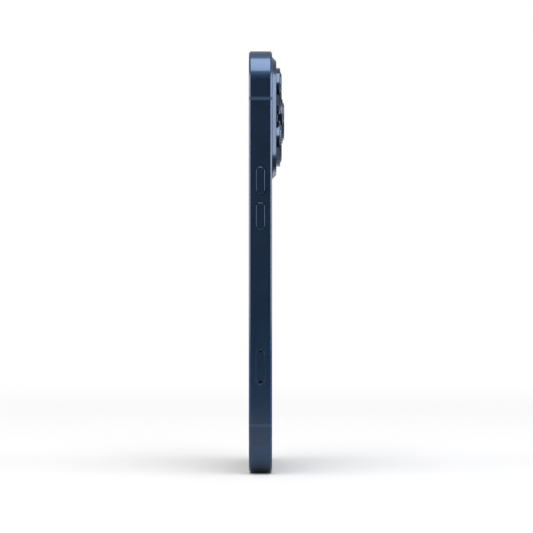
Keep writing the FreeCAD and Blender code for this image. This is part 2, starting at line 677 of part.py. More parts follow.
def make_earpiece():
    """The speaker at the top, and the mesh strip in the glass that the sound comes out of."""
    box_top = f"({CAVITY_TOP} - glass_gap)"
    speaker = new_piece("earpiece_speaker")
    grow(
        speaker, "y", PLATE_BACK, f"{PLATE_BACK} + earbox_depth", span, "-earbox_width / 2",
        "earbox_width / 2", f"{box_top} - earbox_length", box_top,
    )
    mesh = new_piece("earpiece_mesh")
    grow(
        mesh, "y", f"-{HALF_DEPTH} + glass_edge", PANEL_FRONT, level_pill, "0", EARPIECE_Z,
        "earpiece_length - 2 * glass_gap", "earpiece_width - 2 * glass_gap",
    )


# The back: glass with its plateau, seal, and what is on the plateau.


def plateau_outline(sketch, inset):
    rounded(
        sketch, PLATEAU_X, PLATEAU_Z, f"{PLATEAU_WIDTH} - 2 * ({inset})",
        f"{PLATEAU_HEIGHT} - 2 * ({inset})", f"plateau_radius - ({inset})",
    )


def lens_places():
    """Name, x and z of each rear lens."""
    return (
        ("upper", NEAR_LENS_X, UPPER_LENS_Z),
        ("lower", NEAR_LENS_X, LOWER_LENS_Z),
        ("far", FAR_LENS_X, FAR_LENS_Z),
    )


def make_back_glass():
    """One glass with a raised plateau: its side slopes as much inwards as it rises."""
    glass = new_piece("back_glass")
    back_inside = f"{HALF_DEPTH} - back_glass_thickness"
    grow(glass, "y", back_inside, HALF_DEPTH, glass_outline)
    round_edges(glass, "glass_edge", lambda p: near(p.y, HALF_DEPTH))
    plateau = grow(glass, "y", HALF_DEPTH, PLATEAU_TOP, plateau_outline, "0")
    plateau.TaperAngle = -PLATEAU_SLOPE
    doc.recompute()
    round_edges(glass, "plateau_edge", lambda p: near(p.y, PLATEAU_TOP))
    carve(glass, "y", back_inside, HOLLOW_TOP, plateau_outline, "plateau_wall")
    for name, x, z in lens_places():
        carve(glass, "y", HOLLOW_TOP, PLATEAU_TOP, disc, x, z, "ring_stem_radius")
    for z in (FLASH_Z, DEPTH_Z):
        carve(glass, "y", HOLLOW_TOP, PLATEAU_TOP, disc, FAR_LENS_X, z, "window_radius")


def make_lens_ring(name, x, z, radius, rise, lip, lip_rise, foot=None):
    """A stepped metal ring: a stem through the glass, an outer ring, and a lip round the cover.

    The far ring also has a low foot, a little wider than the ring, where it meets the plateau."""
    ring = new_piece(f"lens_ring_{name}", x, "0", z)
    top, lip_top = f"({HALF_DEPTH} + {rise})", f"({HALF_DEPTH} + {lip_rise})"
    seat = f"({lip_top} + cover_proud - cover_thickness)"
    pocket = f"({lip} - lip_wall)"
    if foot:
        foot_top = f"({PLATEAU_TOP} + {foot})"
        base = [(foot_top, radius), (foot_top, "ring_foot_radius"), (PLATEAU_TOP, "ring_foot_radius")]
    else:
        base = [(PLATEAU_TOP, radius)]
    turn(
        ring,
        [
            (HOLLOW_TOP, "ring_bore"),
            (seat, "ring_bore"),
            (seat, pocket),
            (lip_top, pocket),
            (lip_top, f"{lip} - ring_chamfer / 3"),
            (f"{lip_top} - ring_chamfer / 3", lip),
            (top, lip),
            (top, f"{radius} - ring_chamfer"),
            (f"{top} - ring_chamfer", radius),
            *base,
            (PLATEAU_TOP, "ring_stem_radius"),
            (HOLLOW_TOP, "ring_stem_radius"),
        ],
    )
    cover = new_piece(f"lens_cover_{name}", x, "0", z)
    cover_top = f"({lip_top} + cover_proud)"
    turn(
        cover,
        [
            (seat, "0"),
            (seat, f"{pocket} - glass_gap"),
            (f"{cover_top} - cover_proud", f"{pocket} - glass_gap"),
            (cover_top, f"{pocket} - glass_gap - cover_proud"),
            (cover_top, "0"),
        ],
    )


def make_camera_modules():
    """Each housing is a block with a bore, and the lens barrel slides in the bore to focus."""
    for name, x, z in lens_places():
        module = new_piece(f"camera_module_{name}", x, "0", z)
        bore = "barrel_radius + barrel_gap"
        floor = f"({PLATE_BACK} + module_floor)"
        grow(module, "y", PLATE_BACK, "module_top", rectangle, "0", "0", "module_size", "module_size")
        round_edges(module, "glass_edge", lambda p: near(p.y, "module_top"))
        carve(module, "y", floor, "module_top", disc, "0", "0", bore)
        barrel = new_piece(f"lens_barrel_{name}", x, "0", z)
        rest = f"({floor} + barrel_rest)"
        front = f"({rest} + barrel_length)"
        turn(
            barrel,
            [
                (rest, "0"),
                (rest, "barrel_radius"),
                (f"{front} - ring_chamfer", "barrel_radius"),
                (front, "barrel_radius - ring_chamfer"),
                (front, "barrel_radius / 2"),
                (f"{front} - 2 * ring_chamfer", "barrel_radius / 3"),
                (f"{front} - 2 * ring_chamfer", "0"),
            ],
        )


def make_camera_bracket():
    """A thin steel frame that ties the three housings together."""
    bracket = new_piece("camera_bracket")
    top = "module_top + bracket_thickness"
    grow(bracket, "y", "module_top", top, plateau_outline, "plateau_wall + bracket_margin")
    for name, x, z in lens_places():
        carve(bracket, "y", "module_top", top, disc, x, z, "ring_bore - bracket_thickness")
    for z in (FLASH_Z, DEPTH_Z):
        carve(bracket, "y", "module_top", top, disc, FAR_LENS_X, z, "window_radius")


def make_rear_windows():
    """The flash and the depth sensor, each behind a round window set in the plateau."""
    for name, z in (("flash", FLASH_Z), ("depth_sensor", DEPTH_Z)):
        window = new_piece(f"{name}_window", FAR_LENS_X, "0", z)
        turn(
            window,
            [
                (HOLLOW_TOP, "0"),
                (HOLLOW_TOP, "window_radius"),
                (PLATEAU_TOP, "window_radius"),
                (PLATEAU_TOP, "0"),
            ],
        )
    flash = new_piece("flash_board", FAR_LENS_X, "0", FLASH_Z)
    board_top = f"({BACK_LEDGE} + seal_thickness)"
    grow(
        flash, "y", f"{board_top} - board_thickness", board_top, rectangle, "0", "0",
        "rear_board_size", "rear_board_size",
    )
    grow(flash, "y", board_top, "module_top + bracket_thickness", disc, "0", "0", "window_radius / 2")
    sensor = new_piece("depth_sensor", FAR_LENS_X, "0", DEPTH_Z)
    grow(
        sensor, "y", f"{board_top} - shield_height * 2", board_top, rectangle, "0", "0",
        "rear_board_size", "rear_board_size",
    )
    grow(
        sensor, "y", board_top, "module_top + bracket_thickness", disc, "0", "0",
        "window_radius - glass_gap",
    )


# Push buttons and their switches.


def make_button(label, side, height, length):
    """A cap in the band's opening, a flange that keeps it in, and a nub for the switch."""
    button = new_piece(label, "0", "0", height)
    inner = f"({CAVITY_SIDE} - flange_gap)"
    flange_back = f"({inner} - flange_thickness)"
    outer = f"({HALF_WIDTH} + button_proud)"
    nub = f"({flange_back} - nub_length)"

    def add(start, end, outline, *sizes):
        if side > 0:
            grow(button, "x", start, end, outline, *sizes)
        else:
            grow(button, "x", f"-{end}", f"-{start}", outline, *sizes)

    add(inner, outer, upright_pill, "0", "0", "button_width", length)
    round_edges(button, "button_crown", lambda p: near(abs(p.x), outer))
    add(
        flange_back, inner, upright_pill, "0", "0",
        "button_width + 2 * flange_margin", f"{length} + 2 * flange_margin",
    )
    add(nub, flange_back, disc, "0", "0", "nub_radius")


def make_switches(label, side, heights):
    """A steel plate that stands on the mid plate, with a switch facing each button."""
    switches = new_piece(label)
    face = f"({CAVITY_SIDE} - flange_gap - flange_thickness - nub_length - button_travel - switch_gap)"
    back = f"({face} - switch_thickness)"
    plate_back = f"({back} - switch_plate)"
    low = f"{heights[-1]} - switch_size / 2 - switch_plate_margin"
    high = f"{heights[0]} + switch_size / 2 + switch_plate_margin"
    plate_outline = (PLATE_BACK, f"{HALF_DEPTH} - band_wall", low, high)
    plate = (plate_back, back) if side > 0 else (f"-{back}", f"-{plate_back}")
    block = (back, face) if side > 0 else (f"-{face}", f"-{back}")
    grow(switches, "x", *plate, span, *plate_outline)
    for height in heights:
        grow(switches, "x", *block, rectangle, "0", height, "switch_size", "switch_size")


# Card tray, the card, its reader, and the ejector behind it.


def make_card_tray():
    """A cap with two small holes, and a plate with a stepped pocket for the card."""
    tray = new_piece("card_tray")
    half_plate = "tray_plate_thickness / 2"
    grow(
        tray, "x", TRAY_CAP_BACK, HALF_WIDTH, upright_pill, "0", "tray_height",
        "tray_width", "tray_length",
    )
    grow(
        tray, "x", TRAY_END, TRAY_CAP_BACK, rectangle, "0", TRAY_Z,
        "tray_plate_thickness", "tray_plate_width",
    )
    carve(tray, "x", TRAY_CAP_BACK, HALF_WIDTH, disc, "0", ROD_Z, "tray_hole_radius")
    carve(
        tray, "x", f"{HALF_WIDTH} - tray_blind_depth", HALF_WIDTH, disc, "0",
        "tray_height + tray_hole_offset", "tray_hole_radius",
    )
    carve(
        tray, "y", f"{half_plate} - card_thickness - card_gap / 2", half_plate, rectangle, CARD_X, TRAY_Z,
        "card_length + 2 * card_gap", "card_width + 2 * card_gap",
    )
    carve(
        tray, "y", f"-{half_plate}", half_plate, rectangle, CARD_X, TRAY_Z,
        "card_length - 2 * card_ledge", "card_width - 2 * card_ledge",
    )


def make_access_card():
    card = new_piece("access_card")
    bottom = "tray_plate_thickness / 2 - card_thickness - card_gap / 2"
    grow(
        card, "y", bottom, f"{bottom} + card_thickness", rectangle, CARD_X, TRAY_Z,
        "card_length", "card_width",
    )


def make_card_reader():
    """A low box on the main board, open towards the slot, with the pin that the lever turns on."""
    reader = new_piece("card_reader")
    half_inside = "(tray_plate_thickness / 2 + reader_clearance)"
    low_inside = f"({ROD_Z} - rod_radius - reader_margin / 4)"
    high_inside = f"({TRAY_Z} + tray_plate_width / 2 + 3 * reader_clearance)"
    inner_end = f"({PIVOT_X} - eject_stroke / 2 - lever_tip_radius - reader_margin / 2)"
    outer_end = f"({CAVITY_SIDE} - reader_wall)"
    bottom = f"({PLATE_BACK} + board_thickness)"
    grow(
        reader, "y", bottom, f"{half_inside} + reader_roof", span, f"{inner_end} - reader_back", outer_end,
        f"{low_inside} - reader_wall", f"{high_inside} + reader_wall",
    )
    carve(
        reader, "y", f"-{half_inside}", half_inside, span, inner_end, f"{outer_end} + 1",
        low_inside, high_inside,
    )
    grow(reader, "y", f"-{half_inside}", half_inside, disc, PIVOT_X, PIVOT_Z, "pivot_radius")


def make_ejector():
    """The rod that a pin pushes, the lever it turns, and the kicker that drives the tray out."""
    half_thick = "lever_thickness / 2"
    rod = new_piece("eject_rod")
    grow(rod, "x", ROD_END, f"{TRAY_CAP_BACK} - rod_setback", disc, "0", ROD_Z, "rod_radius")
    kicker = new_piece("eject_kicker")
    low = f"({PIVOT_Z} + {LEVER_RISE} - kicker_offset)"
    grow(
        kicker, "y", f"-{half_thick}", half_thick, span, KICKER_BACK, f"{KICKER_BACK} + kicker_length",
        low, f"{low} + kicker_width",
    )
    lever = new_piece("eject_lever", PIVOT_X, "0", PIVOT_Z)
    lever.Placement.Rotation = FreeCAD.Rotation(FreeCAD.Vector(0, -1, 0), 1)
    lever.setExpression("Placement.Rotation.Angle", bound(LEVER_TILT))
    grow(lever, "y", f"-{half_thick}", half_thick, rectangle, "0", "0", "lever_bar", "2 * lever_arm")
    for end in ("-lever_arm", "lever_arm"):
        grow(lever, "y", f"-{half_thick}", half_thick, disc, "0", end, "lever_tip_radius")
    grow(lever, "y", f"-{half_thick}", half_thick, disc, "0", "0", "lever_hub_radius")
    carve(lever, "y", f"-{half_thick}", half_thick, disc, "0", "0", "pivot_radius + pivot_gap")


# Boards, battery, coil and magnets.


def board_screw_places():
    """The four corners of the main board that are screwed to the mid plate."""
    left, right = "board_left + plate_screw_inset", "board_right - plate_screw_inset"
    low, high = "board_bottom + plate_screw_inset", "board_top - plate_screw_inset"
    return [(left, low), (right, low), (left, high), (right, high)]


def make_main_board():
    board = new_piece("main_board")
    top = f"{PLATE_BACK} + board_thickness"
    grow(board, "y", PLATE_BACK, top, span, "board_left", "board_right", "board_bottom", "board_top")
    for x, z in board_screw_places():
        carve(board, "y", PLATE_BACK, top, disc, x, z, "plate_screw_radius")


def make_board_screws():
    """Four small screws through the board into the mid plate, in one node."""
    head_seat = f"{PLATE_BACK} + board_thickness"
    screws = []
    head_top = f"{head_seat} + plate_screw_head_height"
    for corner, (x, z) in enumerate(board_screw_places()):
        screw = new_piece(f"board_screw_{corner}")
        grow(screw, "y", PLATE_FRONT, head_seat, disc, x, z, "plate_screw_radius")
        grow(screw, "y", head_seat, head_top, disc, x, z, "plate_screw_head_radius")
        screws.append(screw)
    return screws


def make_board_shield():
    """A pressed steel can, open towards the board."""
    shield = new_piece("board_shield")
    bottom = f"({PLATE_BACK} + board_thickness)"
    top = f"({bottom} + shield_height)"
    left, right = "board_left + shield_margin", "board_right - shield_margin"
    low, high = "shield_bottom", "shield_bottom + shield_length"
    grow(shield, "y", bottom, top, span, left, right, low, high)
    carve(
        shield, "y", bottom, f"{top} - shield_wall", span, f"{left} + shield_wall",
        f"{right} - shield_wall", f"{low} + shield_wall", f"{high} - shield_wall",
    )


def make_battery():
    battery = new_piece("battery")
    grow(
        battery, "y", PLATE_BACK, f"{PLATE_BACK} + battery_thickness", rounded,
        "-battery_left + battery_width / 2", "battery_bottom + battery_length / 2",
        "battery_width", "battery_length", "battery_radius",
    )


def make_charging_coil():
    coil = new_piece("charging_coil", "0", "0", "coil_height")
    front = f"{COIL_BACK} - coil_thickness"
    grow(coil, "y", front, COIL_BACK, disc, "0", "0", "coil_outer")
    carve(coil, "y", front, COIL_BACK, disc, "0", "0", "coil_inner")


def make_coil_magnets():
    """A ring of arc-shaped magnets round the coil, made as one group of separate solids."""
    outer = number("magnet_outer")
    inner = outer - number("magnet_width")
    thickness = number("magnet_thickness")
    front = number(COIL_BACK) - thickness
    along_y, centre = FreeCAD.Vector(0, 1, 0), FreeCAD.Vector(0, front, number("coil_height"))
    block = Part.makeCylinder(outer, thickness, centre, along_y, number("magnet_angle"))
    block = block.cut(Part.makeCylinder(inner, thickness, centre, along_y))
    count = round(number("magnet_count"))
    blocks = []
    for i in range(count):
        magnet = block.copy()
        magnet.rotate(centre, along_y, i * 360 / count)
        blocks.append(magnet)
    ring = doc.addObject("Part::Feature", "coil_magnets")
    ring.Label = "coil_magnets"
    ring.Shape = Part.makeCompound(blocks)
    ring.Placement = FreeCAD.Placement()


# The bottom edge: port, screws, sound holes' meshes, loudspeaker and haptic motor.

PORT_TOP = "(band_wall + port_length)"


def make_charging_port():
    """The port's shell with a screw ear each side, and the contact tongue inside it."""
    port = new_piece("charging_port")
    grow(
        port, "z", "band_wall", f"{PORT_TOP} + port_back", level_pill, "0", "0",
        "port_width + 2 * port_wall", "port_depth + 2 * port_wall",
    )
    grow(
        port, "z", "band_wall", "band_wall + ear_length", rectangle, "0", "0",
        "2 * screw_spacing + ear_width", "ear_width / 2",
    )
    carve(port, "z", "band_wall", PORT_TOP, level_pill, "0", "0", "port_width", "port_depth")
    for place in ("-screw_spacing", "screw_spacing"):
        carve(port, "z", "band_wall", "band_wall + ear_length", disc, place, "0", "screw_radius")
    tongue = new_piece("port_tongue")
    grow(
        tongue, "z", "tongue_recess", PORT_TOP, rectangle, "0", "0",
        "tongue_width", "tongue_thickness",
    )
    round_edges(
        tongue, "tongue_thickness / 3",
        lambda p: near(p.z, "tongue_recess") and near(abs(p.x), "tongue_width / 2"),
    )


def make_bottom_screws():
    """Two screws that hold the port to the band, in one node."""
    screws = []
    head_top = "(screw_sink + screw_head_height)"
    for side, name in (("-", "left"), ("", "right")):
        place = f"{side}screw_spacing"
        screw = new_piece(f"bottom_screw_{name}")
        grow(screw, "z", "screw_sink", head_top, disc, place, "0", "screw_head_radius")
        grow(screw, "z", head_top, "band_wall + ear_length", disc, place, "0", "screw_radius")
        carve(screw, "z", "screw_sink", f"{head_top} - screw_sink", disc, place, "0", "screw_radius / 2")
        screws.append(screw)
    return screws


def make_dust_meshes():
    """A strip of dust mesh behind each row of sound holes, in one node."""
    strips = []
    row = "vent_pitch * (vent_count - 1)"
    for side, name in (("-", "left"), ("", "right")):
        strip = new_piece(f"dust_mesh_{name}")
        middle = f"{side}(vent_start + {row} / 2)"
        grow(
            strip, "z", "band_wall", "band_wall + mesh_thickness", rectangle, middle, "0",
            f"{row} + 2 * mesh_margin", "mesh_depth",
        )
        strips.append(strip)
    return strips


def make_loudspeaker():
    speaker = new_piece("loudspeaker")
    grow(
        speaker, "y", PLATE_BACK, f"{PLATE_BACK} + speaker_depth", span, "speaker_left", "speaker_right",
        "band_wall + mesh_thickness", "speaker_top",
    )
    round_edges(
        speaker, "edge_radius",
        lambda p: near(p.z, "speaker_top") and (near(p.x, "speaker_left") or near(p.x, "speaker_right")),
    )


def make_haptic_motor():
    """A closed case, a heavy mass that slides from side to side in it, and a spring at each end."""
    front, back = PLATE_BACK, f"({PLATE_BACK} + haptic_depth)"
    left, right = "(-haptic_left + haptic_wall)", "(-haptic_right - haptic_wall)"
    low, high = "(haptic_bottom + haptic_wall)", "(haptic_top - haptic_wall)"
    case = new_piece("haptic_case")
    grow(case, "y", front, back, span, "-haptic_left", "-haptic_right", "haptic_bottom", "haptic_top")
    carve(case, "y", f"{front} + haptic_wall", f"{back} - haptic_wall", span, left, right, low, high)
    mass = new_piece("haptic_mass")
    grow(
        mass, "y", f"{front} + haptic_wall + haptic_gap", f"{back} - haptic_wall - haptic_gap", span,
        f"{left} + haptic_room", f"{right} - haptic_room", f"{low} + haptic_gap", f"{high} - haptic_gap",
    )
    spring_front = f"{front} + haptic_wall + 2 * haptic_gap"
    spring_back = f"{back} - haptic_wall - 2 * haptic_gap"
    middle = f"({low} + {high}) / 2"
    strip = "spring_strip"
    low_end, high_end = f"{low} + 4 * {strip}", f"{high} - 4 * {strip}"
    low_bend, high_bend = f"{low_end} + 4 * {strip}", f"{high_end} - 4 * {strip}"
    for name, wall, inwards in (("left", left, ""), ("right", right, "-")):
        spring = new_piece(f"haptic_spring_{name}")
        foot = f"{wall} + {inwards}{strip}"
        far = f"{wall} + {inwards}(haptic_room - {strip})"
        tip = f"{wall} + {inwards}haptic_room"
        grow(
            spring, "y", spring_front, spring_back, polygon,
            [
                (wall, low_end),
                (foot, low_end),
                (foot, low_bend),
                (tip, f"{middle} - {strip}"),
                (tip, f"{middle} + {strip}"),
                (foot, high_bend),
                (foot, high_end),
                (wall, high_end),
                (wall, high_bend),
                (far, middle),
                (wall, low_bend),
            ],
        )


def as_group(label, members):
    """Several like solids as one node."""
    group = doc.addObject("Part::Compound", label)
    group.Label = label
    group.Links = members
    doc.recompute()
    return group


make_band_top()
make_band_bottom()
make_rail_right()
make_rail_left()
make_antenna_breaks()
make_front_glass()
make_seal("display_seal", PANEL_FRONT, FRONT_LEDGE)
make_display_panel()
make_mid_plate()
make_front_camera()
make_earpiece()
make_back_glass()
make_seal("back_seal", BACK_LEDGE, f"{BACK_LEDGE} + seal_thickness")
NEAR_RING = ("ring_radius", "ring_rise", "lip_radius", "lip_rise")
FAR_RING = ("far_ring_radius", "far_ring_rise", "far_lip_radius", "far_lip_rise", "ring_foot")
for lens_name, lens_x, lens_z in lens_places():
    make_lens_ring(lens_name, lens_x, lens_z, *(FAR_RING if lens_name == "far" else NEAR_RING))
make_camera_modules()
make_camera_bracket()
make_rear_windows()
make_button("volume_up_button", 1, "volume_up_height", "button_length")
make_button("volume_down_button", 1, "volume_down_height", "button_length")
make_button("side_button", -1, "side_button_height", "side_button_length")
make_switches("volume_switches", 1, ("volume_up_height", "volume_down_height"))
make_switches("side_switch", -1, ("side_button_height",))
make_card_tray()
make_access_card()
make_card_reader()
make_ejector()
make_main_board()
make_board_shield()
make_battery()
make_charging_coil()
make_coil_magnets()
make_charging_port()
make_loudspeaker()
make_haptic_motor()
as_group("board_screws", make_board_screws())
as_group("bottom_screws", make_bottom_screws())
as_group("dust_meshes", make_dust_meshes())
doc.recompute()

grouped = {member.Name for group in doc.findObjects("Part::Compound") for member in group.Links}
pieces = [p for p in doc.findObjects("PartDesign::Body") if p.Name not in grouped]
pieces += doc.findObjects("Part::Compound")
pieces += [p for p in doc.findObjects("Part::Feature") if p.TypeId == "Part::Feature"]

for item in doc.Objects:
    if "Invalid" in item.State or "Error" in item.State:
        raise RuntimeError(f"{item.Label} could not be built: {item.State}")
for piece in pieces:
    if piece.Shape.isNull() or not piece.Shape.isValid() or not piece.Shape.Solids:
        raise RuntimeError(f"{piece.Label} has no valid solid")

os.makedirs("parts", exist_ok=True)
for piece in pieces:
    piece.Shape.exportStep(f"parts/{piece.Label}.step")
    print(f"{piece.Label:26s} {len(piece.Shape.Solids):3d} solids {piece.Shape.Volume:10.2f} mm3")
print(len(pieces), "nodes")
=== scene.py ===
# %% [markdown]
# A slab phone, made piece by piece round its engineering model. The model gives every size, so this
# lesson measures it first and never types a position that could be looked up. Each step then has a
# note on the real piece, the ways that it could be made, and why one of them was chosen.

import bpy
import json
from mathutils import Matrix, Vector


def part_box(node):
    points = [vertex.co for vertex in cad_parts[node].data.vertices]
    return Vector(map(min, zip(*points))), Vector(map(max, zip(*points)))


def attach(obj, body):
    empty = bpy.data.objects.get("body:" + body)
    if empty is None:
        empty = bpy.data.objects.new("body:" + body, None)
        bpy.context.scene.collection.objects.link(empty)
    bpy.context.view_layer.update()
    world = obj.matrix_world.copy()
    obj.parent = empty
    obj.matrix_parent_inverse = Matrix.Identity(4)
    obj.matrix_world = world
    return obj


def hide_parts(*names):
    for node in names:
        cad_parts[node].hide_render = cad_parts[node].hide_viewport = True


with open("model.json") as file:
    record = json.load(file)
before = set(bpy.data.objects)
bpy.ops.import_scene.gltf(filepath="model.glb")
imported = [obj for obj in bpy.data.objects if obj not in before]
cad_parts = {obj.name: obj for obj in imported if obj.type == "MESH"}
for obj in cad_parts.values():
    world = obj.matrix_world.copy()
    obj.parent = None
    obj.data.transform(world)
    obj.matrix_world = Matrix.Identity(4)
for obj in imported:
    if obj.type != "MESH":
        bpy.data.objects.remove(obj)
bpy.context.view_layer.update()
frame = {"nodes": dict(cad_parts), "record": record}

# %% Tools for the whole lesson
import json
import math

import bmesh
import bpy
from mathutils import Matrix, Vector

MM = 0.001
QUARTER = math.pi / 2


def span(node):
    """A node's lowest and highest corner, in millimetres."""
    low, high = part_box(node)
    return low / MM, high / MM


def middle(node):
    """The middle of a node, in millimetres."""
    low, high = span(node)
    return (low + high) / 2


def fill(node, sockets):
    """Links or types each value into its socket."""
    for name, value in sockets.items():
        socket = node.inputs[name]
        if isinstance(value, bpy.types.NodeSocket):
            node.id_data.links.new(value, socket)
        else:
            socket.default_value = value


def add_node(tree, kind, sockets=None, **settings):
    """A new node with its settings and its sockets filled."""
    node = tree.nodes.new(kind)
    for name, value in settings.items():
        setattr(node, name, value)
    fill(node, sockets or {})
    return node


def feed(tree, kind, sockets=None, output=0, **settings):
    """Adds a node and gives one of its outputs, to feed into the next."""
    return add_node(tree, kind, sockets, **settings).outputs[output]


def math_node(tree, operation, *values):
    return feed(tree, "ShaderNodeMath", dict(enumerate(values)), operation=operation)


def vector_of(tree, axis, value):
    return feed(tree, "ShaderNodeCombineXYZ", {axis: value})


def shader_of(finish):
    return finish.node_tree.nodes["Principled BSDF"]


# %% [markdown]
# The phone's main sizes are read from the model: the rail gives the half width, half depth and wall
# of the metal band, and the glass gives the recess that it sits in. Reading them keeps the looks and
# the engineering in step if a size ever changes.

# %% Measure the body
rail_low, rail_high = span("rail_right")
HALF_WIDTH = rail_high.x
HALF_DEPTH = rail_high.y
WALL = rail_high.x - rail_low.x
HEIGHT = span("band_top")[1].z
MIDDLE_Z = HEIGHT / 2
glass_low, glass_high = span("front_glass")
GLASS_INSET = HALF_WIDTH - glass_high.x
FRONT_INSIDE = glass_high.y
BACK_INSIDE = span("back_glass")[0].y
FRONT_LEDGE = span("display_seal")[1].y
BACK_LEDGE = span("back_seal")[0].y
PLATEAU_TOP = span("flash_window")[1].y
HOLLOW_TOP = span("flash_window")[0].y
OUTER_RADIUS = 11.0
GLASS_GAP = 0.05
LIP = GLASS_INSET - GLASS_GAP
print(f"body {2 * HALF_WIDTH:.2f} x {2 * HALF_DEPTH:.2f} x {HEIGHT:.2f} mm, band {WALL:.2f} mm thick")

# %% [markdown]
# The camera looks square at the phone's right-hand side from 0.8 m, through a long lens, so that the
# sides stay parallel. A wide lens nearer by would show the glass faces too, which this view hides.

# %% Camera
CAMERA_DISTANCE, CAMERA_ACROSS, CAMERA_HEIGHT = 0.8, 0.0021, 0.07243
LENS_LENGTH, SENSOR_WIDTH = 155.9, 36
camera_data = bpy.data.cameras.new("camera")
camera_data.sensor_width = SENSOR_WIDTH
camera_data.lens = LENS_LENGTH
camera = bpy.data.objects.new("camera", camera_data)
camera.location = (HALF_WIDTH * MM + CAMERA_DISTANCE, CAMERA_ACROSS, CAMERA_HEIGHT)
camera.rotation_euler = (QUARTER, 0, QUARTER)
bpy.context.scene.collection.objects.link(camera)
bpy.context.scene.camera = camera
bpy.context.scene.view_settings.view_transform = "Standard"
print("camera at", tuple(round(v, 4) for v in camera.location))

# %% [markdown]
# A product is shot on a white sweep: a pale floor that runs into a white background. Here the floor
# is a wide sheet whose own surface turns to plain white well away from the phone, so that no horizon
# shows, and only the part near the phone takes its shadow.

# %% Floor
FLOOR_DROP = 0.00001
FLOOR_REACH = 6.0
FLOOR_COLOUR = (0.82, 0.82, 0.825, 1)
FADE_START, FADE_END = 0.15, 0.6


def new_object(name, mesh):
    piece = bpy.data.objects.new(name, mesh)
    bpy.context.scene.collection.objects.link(piece)
    return piece


def make_floor_paint():
    """Pale matt paint near the phone, and a plain white glow further off."""
    paint = bpy.data.materials.new("floor_paint")
    paint.use_nodes = True
    tree = paint.node_tree
    matt = shader_of(paint)
    fill(matt, {"Base Color": FLOOR_COLOUR, "Roughness": 0.7, "Specular IOR Level": 0.0})
    place = feed(tree, "ShaderNodeTexCoord", output="Object")
    distance = feed(tree, "ShaderNodeVectorMath", {0: place}, "Value", operation="LENGTH")
    fade = feed(tree, "ShaderNodeMapRange", {
        "Value": distance, "From Min": FADE_START, "From Max": FADE_END,
    }, interpolation_type="SMOOTHSTEP")
    glow = feed(tree, "ShaderNodeEmission")
    blend = feed(tree, "ShaderNodeMixShader", {"Fac": fade, 1: matt.outputs["BSDF"], 2: glow})
    fill(tree.nodes["Material Output"], {"Surface": blend})
    return paint


def lay_sheet(name, x_from, x_to, y_from, y_to, height, paint):
    """A flat sheet that is part of the stage, not of the phone."""
    corners = ((x_from, y_from), (x_to, y_from), (x_to, y_to), (x_from, y_to))
    mesh = bpy.data.meshes.new(name)
    mesh.from_pydata([(x, y, height) for x, y in corners], [], [(0, 1, 2, 3)])
    mesh.materials.append(paint)
    sheet = new_object(name, mesh)
    return sheet


lay_sheet(
    "floor", -FLOOR_REACH, FLOOR_REACH, -FLOOR_REACH, FLOOR_REACH, -FLOOR_DROP, make_floor_paint(),
)

# %% [markdown]
# Smooth metal shows what stands round it more than it shows its own colour. So the room matters: a
# soft box overhead and a little forward, one low on each side, one behind that only lightens the
# floor, pale walls, and darkness where the camera stands. That is why the flat side looks almost
# black while its edges and the camera plateau shine. The walls are the world's own shader and the
# boxes are area lights. Grey and black cards on the floor show only in reflections: they are painted
# shade there, so that the metal mirrors them instead of a white floor.

# %% Room
ROOM_LIGHT, ROOM_DARK = 0.42, 0.09
DARK_FROM, DARK_TO = 0.66, 0.97
WHITE = (1, 1, 1, 1)
CARD_START, CARD_IN_FRONT, CARD_AT_SIDE, CARD_REACH = 0.0275, 0.34, 0.15, 6.2
CARD_LIFT = 0.0002
SHADE_CARD_GREY, SHADE_CARD_BLACK = 0.44, 0.01


def make_room():
    """White to the camera itself; to everything else, pale walls with a dark part towards +X."""
    world = bpy.data.worlds.new("room")
    world.use_nodes = True
    bpy.context.scene.world = world
    tree = world.node_tree
    tree.nodes.clear()
    place = feed(tree, "ShaderNodeTexCoord", output="Generated")
    forwards = feed(tree, "ShaderNodeSeparateXYZ", {"Vector": place}, "X")
    shade = feed(tree, "ShaderNodeMapRange", {
        "Value": forwards, "From Min": DARK_FROM, "From Max": DARK_TO,
        "To Min": ROOM_LIGHT, "To Max": ROOM_DARK,
    }, interpolation_type="SMOOTHSTEP")
    walls = feed(tree, "ShaderNodeBackground", {"Color": WHITE, "Strength": shade})
    white = feed(tree, "ShaderNodeBackground", {"Color": WHITE, "Strength": 1.0})
    seen = feed(tree, "ShaderNodeLightPath", output="Is Camera Ray")
    choose = feed(tree, "ShaderNodeMixShader", {"Fac": seen, 1: walls, 2: white})
    add_node(tree, "ShaderNodeOutputWorld", {"Surface": choose})


def make_soft_box(name, place, aim, width, height, brightness, in_reflections=True):
    """A rectangular light of a given brightness, turned towards a point."""
    data = bpy.data.lights.new(name, "AREA")
    data.shape = "RECTANGLE"
    data.size = width
    data.size_y = height
    data.energy = brightness * math.pi * width * height
    box = bpy.data.objects.new(name, data)
    box.location = place
    box.rotation_euler = (Vector(aim) - Vector(place)).to_track_quat("-Z", "Y").to_euler()
    box.visible_camera = False
    box.visible_glossy = in_reflections
    bpy.context.scene.collection.objects.link(box)


def make_card(name, shade, *reach):
    """A grey or black card lying on the floor, which shows only in reflections, as painted shade there."""
    paint = bpy.data.materials.new(name)
    paint.use_nodes = True
    fill(shader_of(paint), {"Base Color": (shade, shade, shade, 1), "Roughness": 0.9})
    card = lay_sheet(name, *reach, CARD_LIFT, paint)
    card.visible_camera = False
    card.visible_shadow = False
    card.visible_diffuse = False


